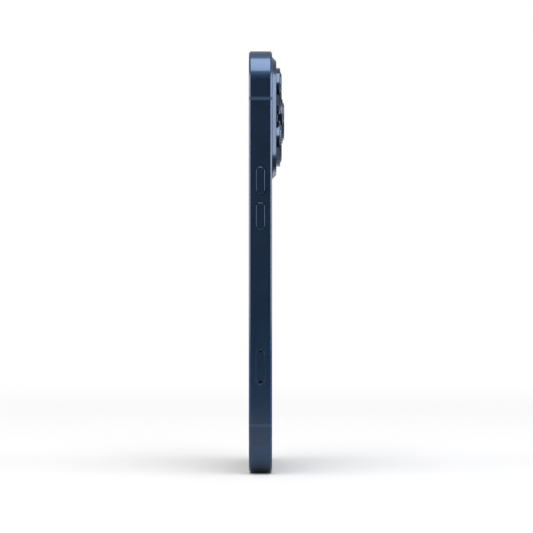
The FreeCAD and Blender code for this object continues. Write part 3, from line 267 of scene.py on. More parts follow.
make_room()
PHONE_MIDDLE = (0, 0, MIDDLE_Z * MM)
make_soft_box("box_overhead", (0.355, 0, 0.92), PHONE_MIDDLE, 0.80, 0.88, 3.2)
make_soft_box("box_left", (0.18, -0.85, 0.22), PHONE_MIDDLE, 0.8, 0.40, 2.9)
make_soft_box("box_right", (0.18, 0.85, 0.22), PHONE_MIDDLE, 0.8, 0.40, 2.9)
make_soft_box("box_behind", (-0.55, 0, 0.75), PHONE_MIDDLE, 0.5, 0.4, 3.0, in_reflections=False)
# Painted shade in reflections: the grey card stands for the floor's shade beside the phone, the black ones
# for a dark floor in front and at the sides.
make_card("card_near", SHADE_CARD_GREY, CARD_START, CARD_IN_FRONT, -CARD_AT_SIDE, CARD_AT_SIDE)
make_card("card_in_front", SHADE_CARD_BLACK, CARD_IN_FRONT, CARD_REACH, -CARD_REACH, CARD_REACH)
make_card("card_at_left", SHADE_CARD_BLACK, -CARD_REACH, CARD_IN_FRONT, -CARD_REACH, -CARD_AT_SIDE)
make_card("card_at_right", SHADE_CARD_BLACK, -CARD_REACH, CARD_IN_FRONT, CARD_AT_SIDE, CARD_REACH)
print("room lit by four soft boxes, with four cards on the floor for the metal to mirror")

# %% [markdown]
# Every finish is a small graph of nodes on the piece's own coordinates. Four helpers cover most of
# them: a grain, a roughness that drifts, a colour that drifts, and edges that have worn a little
# lighter. Image textures would need unwrapping and a file, so noise is used instead.

# %% Finish helpers
def start_finish(name, colour, metallic=0.0, **sockets):
    """A new material with its plain numbers set on the shader itself."""
    finish = bpy.data.materials.new(name)
    finish.use_nodes = True
    fill(shader_of(finish), {"Base Color": (*colour, 1), "Metallic": metallic})
    fill(shader_of(finish), {socket.replace("_", " "): value for socket, value in sockets.items()})
    return finish


def noise(finish, size, detail=2.0, stretch=(1, 1, 1)):
    """Noise whose spots are about the given number of millimetres across."""
    tree = finish.node_tree
    place = feed(tree, "ShaderNodeTexCoord", output="Object")
    mapped = feed(tree, "ShaderNodeMapping", {"Vector": place, "Scale": stretch})
    spots = {"Vector": mapped, "Scale": 1 / (size * MM), "Detail": detail}
    return feed(tree, "ShaderNodeTexNoise", spots, "Fac")


def drift_roughness(finish, spots, smooth, rough):
    """Lets the roughness wander between two values with the noise."""
    fill(shader_of(finish), {"Roughness": feed(finish.node_tree, "ShaderNodeMapRange", {
        "Value": spots, "From Min": 0.3, "From Max": 0.7, "To Min": smooth, "To Max": rough,
    })})


def mix_colours(finish, share, first, second):
    """Gives the finish a mix of two colours, and returns the mix."""
    mix = feed(finish.node_tree, "ShaderNodeMix", {"Factor": share, 6: first, 7: second}, 2, data_type="RGBA")
    fill(shader_of(finish), {"Base Color": mix})
    return mix


def drift_colour(finish, spots, other):
    """Blends the finish's colour towards another one in soft patches."""
    return mix_colours(finish, spots, shader_of(finish).inputs["Base Color"].default_value, (*other, 1))


def add_grain(finish, spots, height_um, strength=1.0):
    """Small bumps, whose height is in thousandths of a millimetre."""
    bumps = {"Strength": strength, "Distance": height_um * MM * MM, "Height": spots}
    fill(shader_of(finish), {"Normal": feed(finish.node_tree, "ShaderNodeBump", bumps)})


def wear_edges(finish, colour_now, worn, width, amount):
    """Lightens the finish where the surface turns sharply within a width in millimetres."""
    tree = finish.node_tree
    softened = feed(tree, "ShaderNodeBevel", {"Radius": width * MM}, samples=4)
    surface = feed(tree, "ShaderNodeNewGeometry", output="Normal")
    match = feed(tree, "ShaderNodeVectorMath", {0: softened, 1: surface}, "Value", operation="DOT_PRODUCT")
    edge = feed(tree, "ShaderNodeMapRange", {
        "Value": match, "From Min": 1.0, "From Max": 0.85, "To Max": amount,
    })
    mix_colours(finish, edge, colour_now, (*worn, 1))

# %% [markdown]
# The metal is aluminium, blasted with fine beads and anodised dark blue: a satin metal with a thin
# clear layer on it. The lens rings are the same metal polished, so they mirror their surroundings
# more sharply. One recipe makes all the anodised metals, with a few numbers changed.

# %% Anodised metals
BLUE = (0.033, 0.080, 0.174)
WORN_BLUE = (0.11, 0.17, 0.28)


def anodised(name, colour, smooth, rough, grain_um, coat):
    finish = start_finish(name, colour, metallic=1.0, Coat_Weight=coat, Coat_Roughness=0.12, Coat_IOR=1.7)
    patches = noise(finish, 9.0, detail=3)
    drift_roughness(finish, patches, smooth, rough)
    now = drift_colour(finish, patches, tuple(0.9 * c for c in colour))
    add_grain(finish, noise(finish, 0.09, detail=1), grain_um, 0.6)
    wear_edges(finish, now, WORN_BLUE, 0.12, 0.5)
    return finish


blue_metal = anodised("blue_metal", BLUE, 0.36, 0.44, 2.2, 0.8)
ring_metal = anodised("ring_metal", (0.030, 0.060, 0.122), 0.18, 0.24, 0.4, 0.8)
print("anodised:", blue_metal.name, ring_metal.name)

# %% [markdown]
# The narrow breaks in the band are moulded plastic, dyed to match and duller than the metal.
# Plastics, rubber, card and boards all share one recipe: a base colour, soft
# patches, a fine moulded grain, and edges rubbed a little lighter.

# %% Moulded and matt finishes
def moulded(name, colour, smooth, rough, grain, grain_um, **sockets):
    finish = start_finish(name, colour, **sockets)
    patches = noise(finish, 4.0, detail=3)
    drift_roughness(finish, patches, smooth, rough)
    now = drift_colour(finish, patches, tuple(0.8 * c for c in colour))
    add_grain(finish, noise(finish, grain, detail=2), grain_um, 0.8)
    wear_edges(finish, now, tuple(min(1.0, 1.5 * c + 0.02) for c in colour), 0.1, 0.4)
    return finish


break_plastic = moulded("break_plastic", (0.025, 0.060, 0.124), 0.38, 0.46, 0.12, 3)
black_plastic = moulded("black_plastic", (0.018, 0.018, 0.019), 0.45, 0.6, 0.1, 4)
camera_black = moulded("camera_black", (0.008, 0.008, 0.009), 0.4, 0.6, 0.08, 3)
black_rubber = moulded("black_rubber", (0.015, 0.015, 0.015), 0.7, 0.85, 0.2, 12)
circuit_board = moulded("circuit_board", (0.012, 0.045, 0.028), 0.3, 0.45, 0.5, 10)
white_card = moulded("white_card", (0.80, 0.80, 0.78), 0.35, 0.45, 0.15, 2)
battery_foil = moulded("battery_foil", (0.025, 0.025, 0.028), 0.28, 0.42, 1.2, 14, metallic=0.4)
screen_panel = moulded("screen_panel", (0.006, 0.006, 0.008), 0.1, 0.15, 0.3, 0.5)

# %% [markdown]
# Steel parts are stamped or turned, so their grain runs one way. Stretching the noise along one
# direction draws those fine lines. Copper wire, nickel-plated magnets and the bare aluminium plate
# are the same idea with other colours.

# %% Drawn and stamped metals
def drawn_metal(name, colour, smooth, rough, stretch, lines_um):
    finish = start_finish(name, colour, metallic=1.0)
    lines = noise(finish, 0.15, detail=3, stretch=stretch)
    drift_roughness(finish, lines, smooth, rough)
    now = drift_colour(finish, noise(finish, 3.0), tuple(0.75 * c for c in colour))
    add_grain(finish, lines, lines_um, 0.7)
    wear_edges(finish, now, tuple(min(1.0, 1.3 * c) for c in colour), 0.1, 0.4)
    return finish


steel = drawn_metal("steel", (0.56, 0.56, 0.57), 0.22, 0.36, (0.08, 1, 1), 1.5)
dark_steel = drawn_metal("dark_steel", (0.012, 0.012, 0.014), 0.45, 0.55, (0.08, 1, 1), 1.5)
steel_mesh = drawn_metal("steel_mesh", (0.045, 0.046, 0.05), 0.35, 0.5, (1, 1, 0.2), 1)
bare_aluminium = drawn_metal("bare_aluminium", (0.62, 0.63, 0.65), 0.3, 0.42, (1, 1, 0.08), 2)
copper = drawn_metal("copper", (0.72, 0.33, 0.16), 0.25, 0.4, (1, 0.1, 1), 2)
magnet = drawn_metal("magnet", (0.6, 0.6, 0.62), 0.15, 0.25, (1, 1, 1), 0.6)
gold_pad = drawn_metal("gold_pad", (0.85, 0.60, 0.26), 0.18, 0.3, (1, 0.3, 1), 0.6)

# %% [markdown]
# There are five glasses, and a coated one for the lens elements. The screen and the sensor window are
# black behind clear glass, the back is etched so that it scatters light, and the camera covers and
# flash are clear. Clear glass lets light through, so what is under it has to be modelled too.

# %% Glass finishes
def make_screen_glass():
    """Black-backed glass; the part that lights up is a trace bluer than its black border."""
    finish = start_finish("screen_glass", (0.0035, 0.0035, 0.004), IOR=1.48)
    smears = noise(finish, 22.0, detail=4, stretch=(1, 1, 0.5))
    drift_roughness(finish, smears, 0.035, 0.07)
    tree = finish.node_tree
    place = feed(tree, "ShaderNodeTexCoord", output="Object")
    axes = add_node(tree, "ShaderNodeSeparateXYZ", {"Vector": place})
    panel_low, panel_high = span("display_panel")
    panel_middle, panel_half = (panel_low + panel_high) / 2, (panel_high - panel_low) / 2

    def beyond(axis, centre, half):
        """How far a point lies past half of the lit area along one axis, at least nothing."""
        from_middle = math_node(tree, "SUBTRACT", axes.outputs[axis], centre * MM)
        past = math_node(tree, "SUBTRACT", math_node(tree, "ABSOLUTE", from_middle), half * MM)
        return math_node(tree, "MAXIMUM", past, 0.0)

    corner, border_width = 8.0, 0.1
    away = feed(tree, "ShaderNodeCombineXYZ", {
        "X": beyond("X", panel_middle.x, panel_half.x - corner),
        "Y": beyond("Z", panel_middle.z, panel_half.z - corner),
    })
    length = feed(tree, "ShaderNodeVectorMath", {0: away}, "Value", operation="LENGTH")
    border = feed(tree, "ShaderNodeMapRange", {
        "Value": length, "From Min": (corner - 0.5 - border_width) * MM, "From Max": (corner - 0.5) * MM,
    })
    mix_colours(finish, border, (0.0075, 0.0085, 0.011, 1), (0.0022, 0.0022, 0.0024, 1))
    return finish


def make_back_glass_finish():
    """Etched glass over blue ink: a fine sparkle of grain under a soft sheen."""
    finish = start_finish("blue_back_glass", (0.032, 0.070, 0.155), metallic=0.9, IOR=1.52,
                          Coat_Weight=0.7, Coat_Roughness=0.16, Coat_IOR=1.7)
    cloud = noise(finish, 14.0, detail=3)
    drift_roughness(finish, cloud, 0.30, 0.38)
    now = drift_colour(finish, cloud, (0.029, 0.063, 0.140))
    add_grain(finish, noise(finish, 0.07, detail=2), 1.6, 0.6)
    wear_edges(finish, now, (0.07, 0.12, 0.22), 0.15, 0.35)
    return finish


def clear_glass(name, tint, refraction, smooth, rough):
    finish = start_finish(name, tint, Transmission_Weight=1.0, IOR=refraction)
    drift_roughness(finish, noise(finish, 5.0, detail=3), smooth, rough)
    drift_colour(finish, noise(finish, 8.0), tuple(0.97 * c for c in tint))
    return finish


def coated_glass(name, dark, sheen):
    """A lens element: nearly black straight on, with the coating's coloured sheen painted into its colour at
    a slant.
    """
    finish = start_finish(name, dark, IOR=1.6, Coat_Weight=1.0, Coat_Roughness=0.02, Coat_Tint=(*sheen, 1))
    drift_roughness(finish, noise(finish, 3.0), 0.03, 0.06)
    # Painted sheen: the colour leans to the coating's tint where the glass is seen at a slant.
    painted_sheen_share = feed(finish.node_tree, "ShaderNodeLayerWeight", {"Blend": 0.35}, "Facing")
    mix_colours(finish, painted_sheen_share, (*dark, 1), (*sheen, 1))
    return finish


screen_glass = make_screen_glass()
blue_back_glass = make_back_glass_finish()
lens_glass = clear_glass("lens_glass", (0.93, 0.94, 0.95), 1.6, 0.0, 0.03)
flash_lens = clear_glass("flash_lens", (0.97, 0.96, 0.90), 1.5, 0.02, 0.08)
dark_window = moulded("dark_window", (0.004, 0.004, 0.005), 0.04, 0.08, 2.0, 0.2, Coat_Weight=0.5)
lens_element = coated_glass("lens_element", (0.004, 0.004, 0.007), (0.10, 0.05, 0.16))
flash_glow = moulded("flash_glow", (0.80, 0.66, 0.26), 0.4, 0.5, 0.3, 6)

# %% [markdown]
# Every node of the model is dressed before any piece is built, so nothing is left bare: the record
# says which slot each node belongs to, and each slot has its finish. Pieces made later in the lesson
# hide their nodes and wear the same finishes.

# %% Dress the model
FINISHES = {
    "blue_metal": blue_metal, "break_plastic": break_plastic, "screen_glass": screen_glass,
    "blue_back_glass": blue_back_glass, "lens_glass": lens_glass, "flash_lens": flash_lens,
    "dark_window": dark_window, "black_rubber": black_rubber, "screen_panel": screen_panel,
    "black_plastic": black_plastic, "camera_black": camera_black, "bare_aluminium": bare_aluminium,
    "steel": steel, "steel_mesh": steel_mesh, "circuit_board": circuit_board,
    "battery_foil": battery_foil, "copper": copper, "magnet": magnet, "white_card": white_card,
}
SLOT = {row["node"]: row["material_slot"] for row in frame["record"]["subparts"]}
BODY = {node: body for body, nodes in frame["record"]["behaviour"]["bodies"].items() for node in nodes}
for node, cad_piece in frame["nodes"].items():
    cad_piece.data.materials.clear()
    cad_piece.data.materials.append(FINISHES[SLOT[node]])
print("dressed", len(frame["nodes"]), "nodes in", len(FINISHES), "finishes")

# %% [markdown]
# Most pieces are stacks of one outline: a pill, a disc or a rounded rectangle, drawn again at each
# height with a different inset. A rounded edge is then just a few more levels on a quarter circle.
# Primitives with a bevel would also do, but a stack gives each edge exactly the rounding it needs.

# %% Outlines and stacks
CORNER_STEPS = 12
FACES = {
    "right": (Vector((0, 1, 0)), Vector((0, 0, 1)), Vector((1, 0, 0))),
    "left": (Vector((0, 1, 0)), Vector((0, 0, 1)), Vector((-1, 0, 0))),
    "back": (Vector((1, 0, 0)), Vector((0, 0, 1)), Vector((0, 1, 0))),
    "front": (Vector((1, 0, 0)), Vector((0, 0, 1)), Vector((0, -1, 0))),
    "bottom": (Vector((1, 0, 0)), Vector((0, 1, 0)), Vector((0, 0, -1))),
}


def place_on(face, across, up, out):
    """A point in metres from millimetres across and up a face, and out from the phone's middle."""
    along_u, along_v, along_out = FACES[face]
    return (along_u * across + along_v * up + along_out * out) * MM


def rounded(width, height, radius, steps=CORNER_STEPS):
    """A rounded rectangle (or pill, or disc), as a function that draws it with an inset."""

    def draw(inset):
        half_w, half_h = width / 2 - inset, height / 2 - inset
        bend = min(max(radius - inset, 0.01), half_w, half_h)
        points = []
        for quarter in range(4):
            sign_u = 1 if quarter in (0, 3) else -1
            sign_v = 1 if quarter in (0, 1) else -1
            for step in range(steps + 1):
                angle = (quarter + step / steps) * QUARTER
                points.append((
                    sign_u * (half_w - bend) + bend * math.cos(angle),
                    sign_v * (half_h - bend) + bend * math.sin(angle),
                ))
        return points

    return draw


def pill(width, height, steps=CORNER_STEPS):
    return rounded(width, height, min(width, height) / 2, steps)


def disc(radius, steps=CORNER_STEPS):
    return rounded(2 * radius, 2 * radius, radius, steps)


def eased(top, radius, steps=5):
    """Levels that round an outer edge over to a flat top."""
    angles = [step / steps * QUARTER for step in range(steps + 1)]
    return [(radius * (1 - math.cos(a)), top - radius * (1 - math.sin(a))) for a in angles]


def slab(low, high, edge):
    """Levels of a plate with a small chamfer on both its faces."""
    return [(edge, low), (0, low + edge), (0, high - edge), (edge, high)]


def close_shell(name, work, finish):
    """Turns a finished bmesh into an object: merged and facing outwards."""
    bmesh.ops.remove_doubles(work, verts=work.verts, dist=1e-7)
    bmesh.ops.dissolve_degenerate(work, edges=work.edges, dist=1e-8)
    bmesh.ops.recalc_face_normals(work, faces=work.faces)
    mesh = bpy.data.meshes.new(name)
    work.to_mesh(mesh)
    work.free()
    mesh.materials.append(finish)
    return new_object(name, mesh)


def join_loops(work, loops):
    """Skins a row of equal closed loops with quads."""
    count = len(loops[0])
    for lower, upper in zip(loops, loops[1:]):
        for i in range(count):
            j = (i + 1) % count
            work.faces.new((lower[i], lower[j], upper[j], upper[i]))


def loop_of(work, points):
    """New vertices of a bmesh at the given points."""
    return [work.verts.new(point) for point in points]


def sealed(name, work, loops, finish):
    """Skins the loops, closes both ends and gives the object."""
    join_loops(work, loops)
    work.faces.new(loops[0])
    work.faces.new(loops[-1])
    return close_shell(name, work, finish)


def stack(name, face, outline, levels, finish, centre=(0, 0)):
    """A closed shell of one outline drawn at several (inset, height) levels of a face."""
    work = bmesh.new()
    loops = [loop_of(work, [place_on(face, u + centre[0], v + centre[1], height) for u, v in outline(inset)])
             for inset, height in levels]
    return sealed(name, work, loops, finish)

# %% [markdown]
# Holes are cut with a boolean, as a drill or an end mill would. Each cutter flares out at the
# surface, which leaves the small chamfer that a machined hole has and that catches the light. The
# result is turned back into a plain mesh at once, so no cutter is left in the scene.

# %% Cutting, joining and shading
def settle(piece):
    """Replaces a piece's mesh by what its modifiers make of it, and removes them."""
    graph = bpy.context.evaluated_depsgraph_get()
    mesh = bpy.data.meshes.new_from_object(piece.evaluated_get(graph), depsgraph=graph)
    piece.modifiers.clear()
    piece.data = mesh
    return piece


def combine(piece, tool, operation, keep_finish=False):
    """Cuts a tool out of a piece, or unites the two; the cut can keep the tool's own finish."""
    change = piece.modifiers.new(operation.lower(), "BOOLEAN")
    change.operation = operation
    change.solver = "EXACT"
    change.material_mode = "TRANSFER" if keep_finish else "INDEX"
    change.object = tool
    settle(piece)
    bpy.data.objects.remove(tool)
    return piece


def join_meshes(name, pieces):
    """Puts separate closed shells into one object, which keeps each shell's own finish."""
    work = bmesh.new()
    finishes = []
    for piece in pieces:
        first = len(work.faces)
        work.from_mesh(piece.data)
        work.faces.ensure_lookup_table()
        finish = piece.data.materials[0]
        if finish not in finishes:
            finishes.append(finish)
        for face in work.faces[first:]:
            face.material_index = finishes.index(finish)
        bpy.data.objects.remove(piece)
    mesh = bpy.data.meshes.new(name)
    work.to_mesh(mesh)
    work.free()
    for finish in finishes:
        mesh.materials.append(finish)
    return new_object(name, mesh)


def cut(piece, *tools, keep_finish=False):
    """Takes all the tools, which don't touch each other, out of a piece in one cut."""
    return combine(piece, join_meshes("tools", tools), "DIFFERENCE", keep_finish)


def hole_tool(face, outline, surface, depth, centre, flare=0.08, finish=None):
    """A cutter for a hole that starts at a surface, with a small flare there."""
    levels = [
        (-flare, surface + 1.0), (-flare, surface), (-flare / 4, surface - flare * 0.6),
        (0, surface - flare), (0, surface - depth),
    ]
    return stack("tool", face, outline, levels, finish or blue_metal, centre)


def shade(piece, degrees=32):
    """Smooth up to sharp edges, with flat faces kept flat beside rounded ones."""
    mesh = piece.data
    mesh.shade_smooth()
    mesh.set_sharp_from_angle(angle=math.radians(degrees))
    level = piece.modifiers.new("flat_faces_first", "WEIGHTED_NORMAL")
    level.keep_sharp = True
    level.weight = 90
    return piece


def finish_piece(piece, body, slot, *nodes, degrees=32):
    """Shades a piece, hangs it on its body and hides the nodes that it stands for; the slot is not used."""
    shade(piece, degrees)
    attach(piece, body)
    if nodes:
        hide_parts(*nodes)
    faces = len(piece.data.polygons)
    print(f"{piece.name:26s} {faces:6d} faces, rides on {body}")
    return piece

# %% [markdown]
# The band is one profile carried round the phone's outline: a flat outer face with rounded edges, a
# ledge for each glass, and the inner wall. It could be cut from a block, but sweeping the profile
# gives every piece of the band the same edges, so the light runs on unbroken past the plastic breaks.

# %% Band profile and path
EDGE_CHAMFER, EDGE_EASE = 0.55, 0.26
BAND_CORNER_STEPS = 40


def ease_corners(points, steps=4):
    """Rounds each (radius, y, ease) corner of an outline with a short curve of its own ease."""
    made = []
    for i, (radius, y, ease) in enumerate(points):
        corner = Vector((radius, y))
        if not ease:
            made.append(corner)
            continue
        before, after = (Vector(points[j % len(points)][:2]) - corner for j in (i - 1, i + 1))
        start = corner + before.normalized() * min(ease, before.length * 0.45)
        end = corner + after.normalized() * min(ease, after.length * 0.45)
        for step in range(steps + 1):
            share = step / steps
            made.append((1 - share) ** 2 * start + 2 * share * (1 - share) * corner + share ** 2 * end)
    return made


def band_section():
    """The band's section as (inset from the outline, y) points, once round."""
    front, back = -HALF_DEPTH, HALF_DEPTH
    corners = [
        (LIP, front, 0), (EDGE_CHAMFER, front, EDGE_EASE), (0, front + EDGE_CHAMFER, EDGE_EASE),
        (0, back - EDGE_CHAMFER, EDGE_EASE), (EDGE_CHAMFER, back, EDGE_EASE), (LIP, back, 0),
        (LIP, BACK_LEDGE, 0), (WALL, BACK_LEDGE, 0), (WALL, FRONT_LEDGE, 0), (LIP, FRONT_LEDGE, 0),
    ]
    return [tuple(point) for point in ease_corners(corners)]


def corner_path(side, level):
    """Stations round one corner of the outline, each a point and the direction it faces."""
    centre_x = side * (HALF_WIDTH - OUTER_RADIUS)
    centre_z = MIDDLE_Z + level * (MIDDLE_Z - OUTER_RADIUS)
    first = {(1, 1): 0, (-1, 1): 1, (-1, -1): 2, (1, -1): 3}[(side, level)]
    stations = []
    for step in range(BAND_CORNER_STEPS + 1):
        angle = (first + step / BAND_CORNER_STEPS) * QUARTER
        facing = (math.cos(angle), math.sin(angle))
        stations.append((centre_x + OUTER_RADIUS * facing[0], centre_z + OUTER_RADIUS * facing[1], *facing))
    return stations


def sweep_band(name, stations, finish):
    """Carries the band's section along the stations and closes both ends."""
    work = bmesh.new()
    section = band_section()
    loops = [
        loop_of(work, [Vector((x - inset * facing_x, y, z - inset * facing_z)) * MM for inset, y in section])
        for x, z, facing_x, facing_z in stations
    ]
    return sealed(name, work, loops, finish)


def side_path(side, low, high):
    """A straight stretch of one long side."""
    levels = (low, high) if side > 0 else (high, low)
    return [(side * HALF_WIDTH, z, side, 0) for z in levels]


BREAKS = {level: (span(f"antenna_break_{level}_right")[0].z, span(f"antenna_break_{level}_right")[1].z)
          for level in ("lower", "upper")}
print("breaks at", {level: tuple(round(v, 2) for v in ends) for level, ends in BREAKS.items()})

# %% [markdown]
# The band's upper arch has no openings. The lower arch has the charging port's mouth in the middle, a
# screw each side of it, and a row of round sound holes each side of those, all drilled in one cut.

# %% Band arches
PORT_MOUTH = (8.94, 3.16)
SCREW_X = 8.5
SCREW_HEAD, SCREW_SHANK, SCREW_GAP = 0.8, 0.5, 0.05
SCREW_SINK, SCREW_HEAD_HEIGHT = 0.3, 0.6
VENT_START, VENT_PITCH, VENT_COUNT, VENT_RADIUS = 13.0, 2.6, 5, 0.75
THROUGH = WALL + 0.5


def chain(*parts):
    """Joins stretches of path, without repeating the points where they meet."""
    stations = []
    for part in parts:
        for station in part:
            if not stations or math.dist(station[:2], stations[-1][:2]) > GLASS_GAP:
                stations.append(station)
    return stations


def screw_tool(x):
    """A counterbore and a clearance hole in one stepped cutter."""
    head = SCREW_HEAD + SCREW_GAP
    step = head - SCREW_SHANK
    seat = -(SCREW_SINK + SCREW_HEAD_HEIGHT)
    levels = [(-0.08, 1.0), (-0.08, 0), (0, -0.08), (0, seat), (step, seat), (step, -THROUGH)]
    return stack("tool", "bottom", disc(head), levels, blue_metal, (x, 0))


corner_z = OUTER_RADIUS
band_top = sweep_band("band_arch_top", chain(
    side_path(1, BREAKS["upper"][1], HEIGHT - corner_z), corner_path(1, 1),
    corner_path(-1, 1), side_path(-1, BREAKS["upper"][1], HEIGHT - corner_z),
), blue_metal)
finish_piece(band_top, "phone", "blue_metal", "band_top")

band_bottom = sweep_band("band_arch_bottom", chain(
    side_path(-1, corner_z, BREAKS["lower"][0]), corner_path(-1, -1),
    corner_path(1, -1), side_path(1, corner_z, BREAKS["lower"][0]),
), blue_metal)
tools = [hole_tool("bottom", pill(*PORT_MOUTH), 0, THROUGH, (0, 0), 0.15)]
for side in (-1, 1):
    tools.append(screw_tool(side * SCREW_X))
    for i in range(VENT_COUNT):
        vent_x = side * (VENT_START + i * VENT_PITCH)
        tools.append(hole_tool("bottom", disc(VENT_RADIUS), 0, THROUGH, (vent_x, 0), 0.1))
cut(band_bottom, *tools)
finish_piece(band_bottom, "phone", "blue_metal", "band_bottom")

# %% [markdown]
# The two straight rails run between the breaks. The right one has pill-shaped openings for the volume
# buttons and the card tray, and the left one has a longer one for the side button. The openings are
# read from the buttons' own boxes, less the hidden flange, plus a hair's breadth of clearance.

# %% Rails and breaks
BUTTON_GAP = 0.1
FLANGE_MARGIN = 0.3
TRAY_GAP = 0.05
OPENING_FLARE = 0.10


def cap_size(node):
    """Width, length and middle height of a button's cap, inside its flange."""
    low, high = span(node)
    trim = 2 * FLANGE_MARGIN
    return high.y - low.y - trim, high.z - low.z - trim, (low.z + high.z) / 2


def opening_tool(face, width, length, height, gap):
    shape = pill(width + 2 * gap, length + 2 * gap)
    return hole_tool(face, shape, HALF_WIDTH, THROUGH, (0, height), OPENING_FLARE)


TRAY_WIDTH, TRAY_LENGTH, TRAY_HEIGHT = 2.9, 12.2, 37.65
rail_ends = (BREAKS["lower"][1], BREAKS["upper"][0])
rail_right = sweep_band("band_rail_right", side_path(1, *rail_ends), blue_metal)
cut(
    rail_right,
    opening_tool("right", *cap_size("volume_up_button"), BUTTON_GAP),
    opening_tool("right", *cap_size("volume_down_button"), BUTTON_GAP),
    opening_tool("right", TRAY_WIDTH, TRAY_LENGTH, TRAY_HEIGHT, TRAY_GAP),
)
finish_piece(rail_right, "phone", "blue_metal", "rail_right")

rail_left = sweep_band("band_rail_left", side_path(-1, *rail_ends), blue_metal)
cut(rail_left, opening_tool("left", *cap_size("side_button"), BUTTON_GAP))
finish_piece(rail_left, "phone", "blue_metal", "rail_left")

for level, ends in BREAKS.items():
    for side, name in ((1, "right"), (-1, "left")):
        insert = sweep_band(f"break_{level}_{name}", side_path(side, *ends), break_plastic)
        finish_piece(insert, "phone", "break_plastic", f"antenna_break_{level}_{name}")

# %% [markdown]
# A button is a pill with a softly crowned edge that stands a quarter of a millimetre proud, and a
# flange behind the band that keeps it in. One stack of pills makes both. It rides on its own body,
# so it sinks into its opening when it is pressed.

# %% Buttons
CROWN = 0.25
FLANGE_PLAY, FLANGE_THICKNESS = 0.03, 0.5


def make_button(node, face):
    """A cap with its flange, on the button's own body."""
    width, length, height = cap_size(node)
    low, high = span(node)
    proud = max(abs(low.x), abs(high.x))
    flange_top = HALF_WIDTH - WALL - FLANGE_PLAY
    levels = [(-FLANGE_MARGIN, flange_top - FLANGE_THICKNESS), (-FLANGE_MARGIN, flange_top), (0, flange_top)]
    levels += eased(proud, CROWN, steps=8)
    button = stack(f"{node}_cap", face, pill(width, length, 20), levels, blue_metal, (0, height))
    finish_piece(button, node, "blue_metal", node)


for node, face in (("volume_up_button", "right"), ("volume_down_button", "right"), ("side_button", "left")):
    make_button(node, face)

# %% [markdown]
# The card tray is a pill-shaped cap with a plate behind it. The lower hole goes through to the eject
# rod, and its twin is blind; both are painted black inside, as painted shade. The plate has a stepped
# pocket that the card drops into. Cap and plate are united, because the real tray is machined in one piece.

# %% Card tray
EJECT_HOLE_RADIUS, EJECT_HOLE_OFFSET, BLIND_DEPTH = 0.475, 5.27, 0.9
CAP_THICKNESS, CAP_EDGE = 1.75, 0.13
PLATE_THICKNESS, PLATE_EDGE, BITE = 1.1, 0.06, 0.2
cap_back = HALF_WIDTH - CAP_THICKNESS
tray_low = span("card_tray")[0]
card_low, card_high = span("access_card")
card_middle, card_size = (card_low + card_high) / 2, card_high - card_low
PLATE_LENGTH = cap_back - tray_low.x
PLATE_WIDTH = 9.9
half_plate = PLATE_THICKNESS / 2

cap = stack(
    "card_tray_visual", "right", pill(TRAY_WIDTH, TRAY_LENGTH, 20),
    [(0, cap_back), *eased(HALF_WIDTH, CAP_EDGE)], blue_metal, (0, TRAY_HEIGHT),
)
# Both holes keep camera_black on their walls: painted shade inside them, where the real tray is its own blue
# metal.
painted_shade_holes = [
    hole_tool("right", disc(EJECT_HOLE_RADIUS), HALF_WIDTH, depth, (0, TRAY_HEIGHT + offset), OPENING_FLARE,
              camera_black)
    for depth, offset in ((CAP_THICKNESS + 0.5, -EJECT_HOLE_OFFSET), (BLIND_DEPTH, EJECT_HOLE_OFFSET))
]
cut(cap, *painted_shade_holes, keep_finish=True)
plate = stack(
    "plate", "back", rounded(PLATE_LENGTH + BITE, PLATE_WIDTH, 0.6),
    slab(-half_plate, half_plate, PLATE_EDGE),
    blue_metal, (tray_low.x + (PLATE_LENGTH + BITE) / 2, card_middle.z),
)
CARD_GAP, CARD_LEDGE = 0.1, 0.9
pocket = stack(
    "tool", "back", rounded(card_size.x + 2 * CARD_GAP, card_size.z + 2 * CARD_GAP, 0.5),
    [(0, card_low.y), (0, 1.0)], blue_metal, (card_middle.x, card_middle.z),
)
window = stack(
    "tool", "back", rounded(card_size.x - 2 * CARD_LEDGE, card_size.z - 2 * CARD_LEDGE, 0.4),
    [(0, -1.0), (0, card_low.y + 0.1)], blue_metal, (card_middle.x, card_middle.z),
)
combine(plate, pocket, "DIFFERENCE")
combine(plate, window, "DIFFERENCE")
tray = combine(cap, plate, "UNION")
finish_piece(tray, "card_tray", "blue_metal", "card_tray")

# %% [markdown]
# Small parts repeat in rows: contacts, flash cells, screws. A Geometry Nodes tree can set one piece
# out in columns and rows from a few numbers, which is quicker to change than a loop of copies. It
# ends by making the copies real, so each row becomes one plain mesh.

# %% A tree that sets a piece out in rows
def start_tree(name, **inputs):
    """A new Geometry Nodes tree with named inputs; gives the tree and its two end nodes."""
    tree = bpy.data.node_groups.new(name, "GeometryNodeTree")
    tree.interface.new_socket(name="Geometry", in_out="INPUT", socket_type="NodeSocketGeometry")
    for label, kind in inputs.items():
        tree.interface.new_socket(name=label, in_out="INPUT", socket_type=f"NodeSocket{kind}")
    tree.interface.new_socket(name="Geometry", in_out="OUTPUT", socket_type="NodeSocketGeometry")
    return tree, tree.nodes.new("NodeGroupInput"), tree.nodes.new("NodeGroupOutput")


def realize(tree, geometry):
    return feed(tree, "GeometryNodeRealizeInstances", {"Geometry": geometry})


def end_tree(tree, given, out, geometry):
    """Makes instances real and gives them the finish that was passed in."""
    dressed = {"Geometry": realize(tree, geometry), "Material": given.outputs["Finish"]}
    fill(out, {"Geometry": feed(tree, "GeometryNodeSetMaterial", dressed)})
    return tree


def run_tree(name, tree, **values):
    """Runs a tree once and keeps what it makes as a plain mesh."""
    piece = new_object(name, bpy.data.meshes.new(name))
    modifier = piece.modifiers.new(tree.name, "NODES")
    modifier.node_group = tree
    for socket in tree.interface.items_tree:
        if socket.in_out == "INPUT" and socket.name in values:
            modifier[socket.identifier] = values[socket.name]
    return settle(piece)


